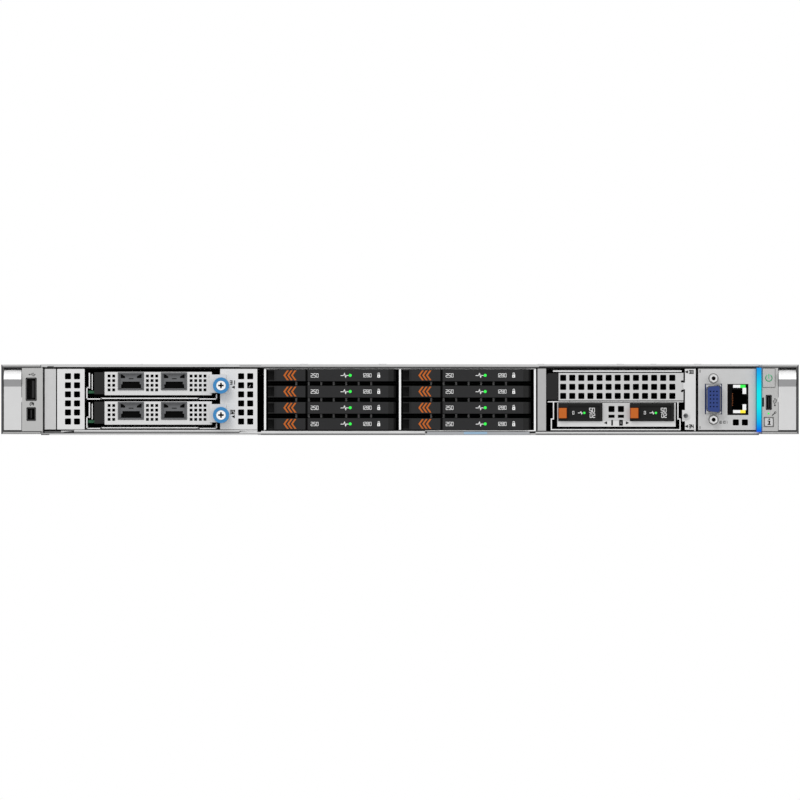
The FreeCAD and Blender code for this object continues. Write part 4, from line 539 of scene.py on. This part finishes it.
# %%
paint("network_jack", "black", ("gold", lambda f: (f.y > -18.2) & (f.y < -7) & (f.x < 202.6)))
jack_whites = [rect(201.4, 28.6, 205.7, 30.4), rect(207.1, 24.9, 209.3, 28.6), rect(201.4, 13.3, 205.7, 15.1),
               rect(207.1, 15.1, 209.3, 18.6)]
marks("jack_frame", "chassis", "white", jack_whites, FACE - 0.1)
for side, colour, low in (("upper", "lamp_green", 28.6), ("lower", "lamp_yellow", 13.3)):
    marks(f"jack_lamp_{side}", "chassis", colour, [rect(205.7, low, 208.9, low + 1.8)],
          FACE - 0.1)

# the video socket: a bright rim round a blue insert, between two hex nuts
VIDEO_X, VIDEO_Z, VIDEO_FACE, NUT_REACH = 189.5, 21.8, -25.4, 12.5
paint("video_port", "blue_port",
      ("bracket", lambda f: abs(f.z - VIDEO_Z) > 9.0),
      ("plated", lambda f: (abs(f.z - VIDEO_Z) < 9.0) & f.wall & (f.y > -25)))
shell = [(VIDEO_X + 4.0, VIDEO_Z - 6.9), (VIDEO_X + 4.0, VIDEO_Z + 6.9), (VIDEO_X + 3.4, VIDEO_Z + 7.9),
         (VIDEO_X + 2.4, VIDEO_Z + 8.2), (VIDEO_X - 2.4, VIDEO_Z + 7.7), (VIDEO_X - 3.7, VIDEO_Z + 6.9),
         (VIDEO_X - 4.0, VIDEO_Z + 6.0), (VIDEO_X - 4.0, VIDEO_Z - 6.0), (VIDEO_X - 3.7, VIDEO_Z - 6.9),
         (VIDEO_X - 2.4, VIDEO_Z - 7.7), (VIDEO_X + 2.4, VIDEO_Z - 8.2), (VIDEO_X + 3.4, VIDEO_Z - 7.9)]
shell_corners = []
for right, reach in ((-1, 8.1), (1, 8.65)):
    for up in (-1, 1):
        shell_corners.append(fillet(VIDEO_X + right * 4.45, VIDEO_Z + up * reach, -right, -up, 1.9, 6))
marks("video_corners", "chassis", "plate_grey", shell_corners, VIDEO_FACE, 0.2)
marks("video_rim", "chassis", "cage_metal", line(shell, 0.5, closed=True), VIDEO_FACE, 0.15)
washers, bores = [], []
for up in (-1, 1):
    washers += line(disc(VIDEO_X, VIDEO_Z + up * NUT_REACH, 2.85, 20), 0.3, closed=True)
    bores.append(disc(VIDEO_X, VIDEO_Z + up * NUT_REACH, 1.24, 14))
marks("video_washers", "chassis", "print", washers, FACE, 0.1)
# painted shade: black discs inside the nut bores
marks("video_bores", "chassis", "black", bores, -23.0, 0.1)

PORT_WALL = 0.6
for name in ("usb_port", "display_port", "usb_c_port"):
    low, high = bounds_of(name)
    half_x, half_z = (high[0] - low[0]) / 2 - PORT_WALL, (high[2] - low[2]) / 2 - PORT_WALL
    middle_x, middle_z = (low[0] + high[0]) / 2, (low[2] + high[2]) / 2
    # the insides are near black: partly the dark insert, and painted shade on the inner walls and the faces
    # behind the front
    paint(name, "edge_dark",
          ("drive", lambda f: (f.y > -21) | (abs(f.nx) + abs(f.nz) > 0.5)
           | (abs(f.x - middle_x) < half_x) & (abs(f.z - middle_z) < half_z)))
    rim = rounded(low[0] - 0.1, low[2] - 0.1, high[0] + 0.1, high[2] + 0.1, 0.7)
    marks(f"{name}_rim", "chassis", "print", line(rim, 0.35, closed=True), POD_FACE, 0.05)

LAMP_X = 222.9
power = arc(LAMP_X, 34.5, 1.95, 125, 415, 0.46) + line([(LAMP_X, 34.3), (LAMP_X, 36.7)], 0.46)
marks("power_symbol", "power_button", "power_green", power, POWER_FACE)
mark_i = [disc(223.2, 9.6, 0.45, 10), [(222.7, 6.4), (223.5, 6.4), (223.8, 8.7), (222.9, 8.7)],
          rect(222.1, 8.3, 223.0, 8.7), rect(222.1, 6.2, 224.0, 6.6)]
marks("id_symbol", "id_button", "black", mark_i, ID_FACE - 0.04)
ID_MARGIN = 0.75
low, high = bounds_of("id_button")
cap = rounded(low[0] + ID_MARGIN, low[2] + ID_MARGIN, high[0] - ID_MARGIN, high[2] - ID_MARGIN, 0.8)
marks("id_cap", "id_button", "bracket_grey", [cap], ID_FACE, 0.04)
marks("id_cap_line", "id_button", "print", line(cap, 0.26, closed=True), ID_FACE - 0.04, 0.03)
marks("id_lamp", "chassis", "lamp_green", [disc(222.8, 13.0, 0.55, 12)], POD_FACE)
low, high = bounds_of("status_light_bar")
bar_edges = [rect(x, low[2], x + 0.3, high[2]) for x in (low[0], high[0] - 0.3)]
marks("light_bar_edges", "chassis", "pod_edge", bar_edges, low[1], 0.03)
marks("pod_slot", "chassis", "dark", [rounded(218.9, 17.2, 220.0, 22.7, 0.3)], POD_FACE)


def three_way(x, z, size, upright):
    """The three-way symbol of a serial bus: a stem with a dot at each end, and two arms with a dot each."""
    stroke = 0.16 * size
    shapes = [[(0, 0), (3.4, 0)], [(0.8, 0), (1.5, 0.8), (2.2, 0.8)], [(1.3, 0), (2.0, -0.8), (2.7, -0.8)]]
    made = []
    for points in shapes:
        spots = [(u * size, v * size) for u, v in points]
        made += line([(x - v, z + u) if upright else (x + u, z + v) for u, v in spots], stroke)
    for u, v, r in ((0, 0, 0.42), (2.4, 0.8, 0.3), (2.9, -0.8, 0.3), (3.5, 0, 0.34)):
        spot = (x - v * size, z + u * size) if upright else (x + u * size, z + v * size)
        made.append(disc(*spot, r * size, 10))
    return made


bus_marks = {"left": three_way(-224.0, 36.6, 0.95, False), "right": three_way(226.6, 18.0, 1.1, True)}
for side, symbol in bus_marks.items():
    marks(f"bus_mark_{side}", "chassis", "print_dark", symbol, POD_FACE)
swirl = arc(-222.5, 18.7, 1.15, -40, 230, 0.36) + line([(-222.5, 18.7), (-221.3, 18.7)], 0.36)
swirl += arc(-222.2, 18.7, 0.5, 0, 200, 0.3, 6)
marks("display_mark", "chassis", "print_dark", swirl, POD_FACE)
wrench = line([(225.0, 11.9), (226.4, 13.3)], 0.45) + arc(226.8, 13.6, 0.5, 0, 290, 0.3, 8)
marks("service_mark", "chassis", "print_dark", wrench, POD_FACE)


def pointer(x, z, way=-1, size=1.9):
    """A small solid triangle that points left or right."""
    return [(x + way * size, z), (x, z - size / 2), (x, z + size / 2)]


numbers = figures("31", -102.6, 30.7, 2.1, 0.25) + figures("32", -102.6, 12.9, 2.1, 0.25)
numbers += figures("10101", 192.6, 7.0, 1.5)
marks("face_numbers", "chassis", "print", numbers, FACE)
pointers = [pointer(-99.9, 29.0), pointer(-99.9, 11.2), pointer(174.1, 38.2), pointer(174.1, 5.3)]
pointers += figures("33", 174.9, 37.2, 1.9, 0.25) + figures("34", 174.9, 4.3, 1.9, 0.25)
marks("face_pointers", "chassis", "print_dark", pointers, FACE)
notches = [disc(170.9, 32.5, 0.6, 10), disc(170.9, 26.9, 0.6, 10)]
marks("riser_notches", "chassis", "black", notches, BLANK_FACE, 0.15)
bulge = rounded(171.2, 27.6, 173.6, 31.8, 1.0)
marks("riser_bulge", "chassis", "bracket", [bulge], BOOT_FACE, 0.42)
cross = line([(171.4, 11.7), (173.1, 11.7)], 0.35) + line([(172.25, 10.85), (172.25, 12.55)], 0.35)
marks("riser_screw_cross", "chassis", "black", cross, -21.5, 0.05)
marks("plate_ticks", "chassis", "print_dark",
      [rect(181.2, 37.8, 181.6, 39.6), rect(181.2, 3.8, 181.6, 5.4)], FACE, 0.05)

BOOT_PULSE = [(11.6, 4.7), (12.8, 4.7), (13.3, 5.6), (13.7, 3.9), (14.1, 4.7)]
for number in (0, 1):
    name = f"boot_drive_{number}"
    low, high = bounds_of(name)
    left, base = low[0], low[2]
    paint(name, "drive_dark", ("black", lambda f: (f.x < left + 7.6) & (f.y > -20.8)))
    paint(f"boot_release_{number}", "orange", ("chevron", lambda f: f.front))
    writing = figures("0", left + 8.2, base + 3.9, 1.8) + figures("50", left + 18.4, base + 5.1, 2.5)
    writing += figures("02", left + 18.8, base + 1.9, 2.3)
    writing += line([(left + u, base + v) for u, v in BOOT_PULSE], 0.35)
    marks(f"{name}_print", name, "ink", writing, DRIVE_FACE, 0.06)
    marks(f"{name}_lamp", name, "lamp_green", [disc(left + 15.3, base + 4.7, 0.72, 12)],
          DRIVE_FACE)
numbers = figures("1", 127.0, 6.2, 2.5, 0.38) + figures("0", 133.0, 6.2, 2.5, 0.38)
numbers += [pointer(125.2, 7.4), pointer(136.6, 7.4, way=1)]
marks("boot_numbers", "chassis", "print_dark", numbers, BOOT_FACE)
marks("tag_stripe", "information_tag", "tag_blue", [rect(38.6, 0.5, 52.7, 2.0)], -21.4)

# %% [markdown]
# ## Power supplies

# %%
INLET_FRONT, HANDLE_FRONT, BOARD_REAR, PSU_REAR = 736, 752.4, 748, 751.5
for number in (1, 2):
    name = f"psu_{number}"
    low, high = bounds_of(name)
    left, base = low[0], low[2]
    paint(name, "plated",
          ("dark", lambda f: (f.y > INLET_FRONT) & (f.x > left + 5.1) & (f.x < left + 32.9)
           & (f.z > base + 9.1) & (f.z < base + 29.5)),
          ("dark", lambda f: f.y > HANDLE_FRONT),
          ("pcb", lambda f: (f.y < BOARD_REAR) & (f.x > left + 3.5) & (f.x < left + 64.5)
           & (f.z > base + 2.9) & (f.z < base + 4.65)))
    paint(f"{name}_latch", "orange")
    marks(f"{name}_lamp", name, "lamp_green", [disc(left + 62.5, base + 33.0, 1.6)],
          PSU_REAR, side="rear")

# %% [markdown]
# ## Light, background and camera

# %%
scene = bpy.context.scene
world = bpy.data.worlds.new("white")
scene.world = world
world.use_nodes = True
tree = world.node_tree
tree.nodes.clear()
ray = add(tree, "ShaderNodeLightPath")
spot = add(tree, "ShaderNodeTexCoord")
parts = add(tree, "ShaderNodeSeparateXYZ", {"Vector": spot.outputs["Generated"]})
rise = add(tree, "ShaderNodeMapRange", {"Value": parts.outputs["Z"]}, From_Min=-1.0, From_Max=1.0,
           To_Min=0.45, To_Max=1.05)
plain = add(tree, "ShaderNodeBackground", Color=(1, 1, 1, 1), Strength=1.0)
soft = add(tree, "ShaderNodeBackground", {"Strength": rise.outputs["Result"]}, Color=(1, 1, 1, 1))
both = add(tree, "ShaderNodeMixShader")
tree.links.new(ray.outputs["Is Camera Ray"], both.inputs[0])
tree.links.new(soft.outputs["Background"], both.inputs[1])
tree.links.new(plain.outputs["Background"], both.inputs[2])
add(tree, "ShaderNodeOutputWorld", {"Surface": both.outputs["Shader"]})


def lamp(name, place, aim, power, size):
    """A square area light."""
    data = bpy.data.lights.new(name, "AREA")
    data.energy, data.size = power, size
    made = bpy.data.objects.new(name, data)
    made.location = place
    direction = np.array(aim) - np.array(place)
    pitch = math.atan2(math.hypot(direction[0], direction[1]), -direction[2])
    made.rotation_euler = (pitch, 0, math.atan2(direction[0], direction[1]) * -1)
    scene.collection.objects.link(made)


lamp("key", (-0.6, -1.5, 1.3), (0, 0, 0), 14, 0.8)
lamp("fill", (1.2, -1.2, 0.5), (0, 0, 0), 5, 1.0)

VIEW_WIDTH, VIEW_HEIGHT_Z, LENS = 0.4836, 0.0212, 400.0
camera_data = bpy.data.cameras.new("camera")
camera_data.type = "PERSP"
camera_data.lens, camera_data.sensor_width = LENS, 36.0
camera_data.clip_end = 60.0
camera = bpy.data.objects.new("camera", camera_data)
camera.location = (0.0, -0.021 - VIEW_WIDTH * LENS / 36.0, VIEW_HEIGHT_Z)
camera.rotation_euler = (math.pi / 2, 0, 0)
scene.collection.objects.link(camera)
scene.camera = camera
scene.render.engine = "CYCLES"
scene.cycles.samples = 96
scene.render.resolution_x = scene.render.resolution_y = 800
scene.view_settings.view_transform = "Standard"
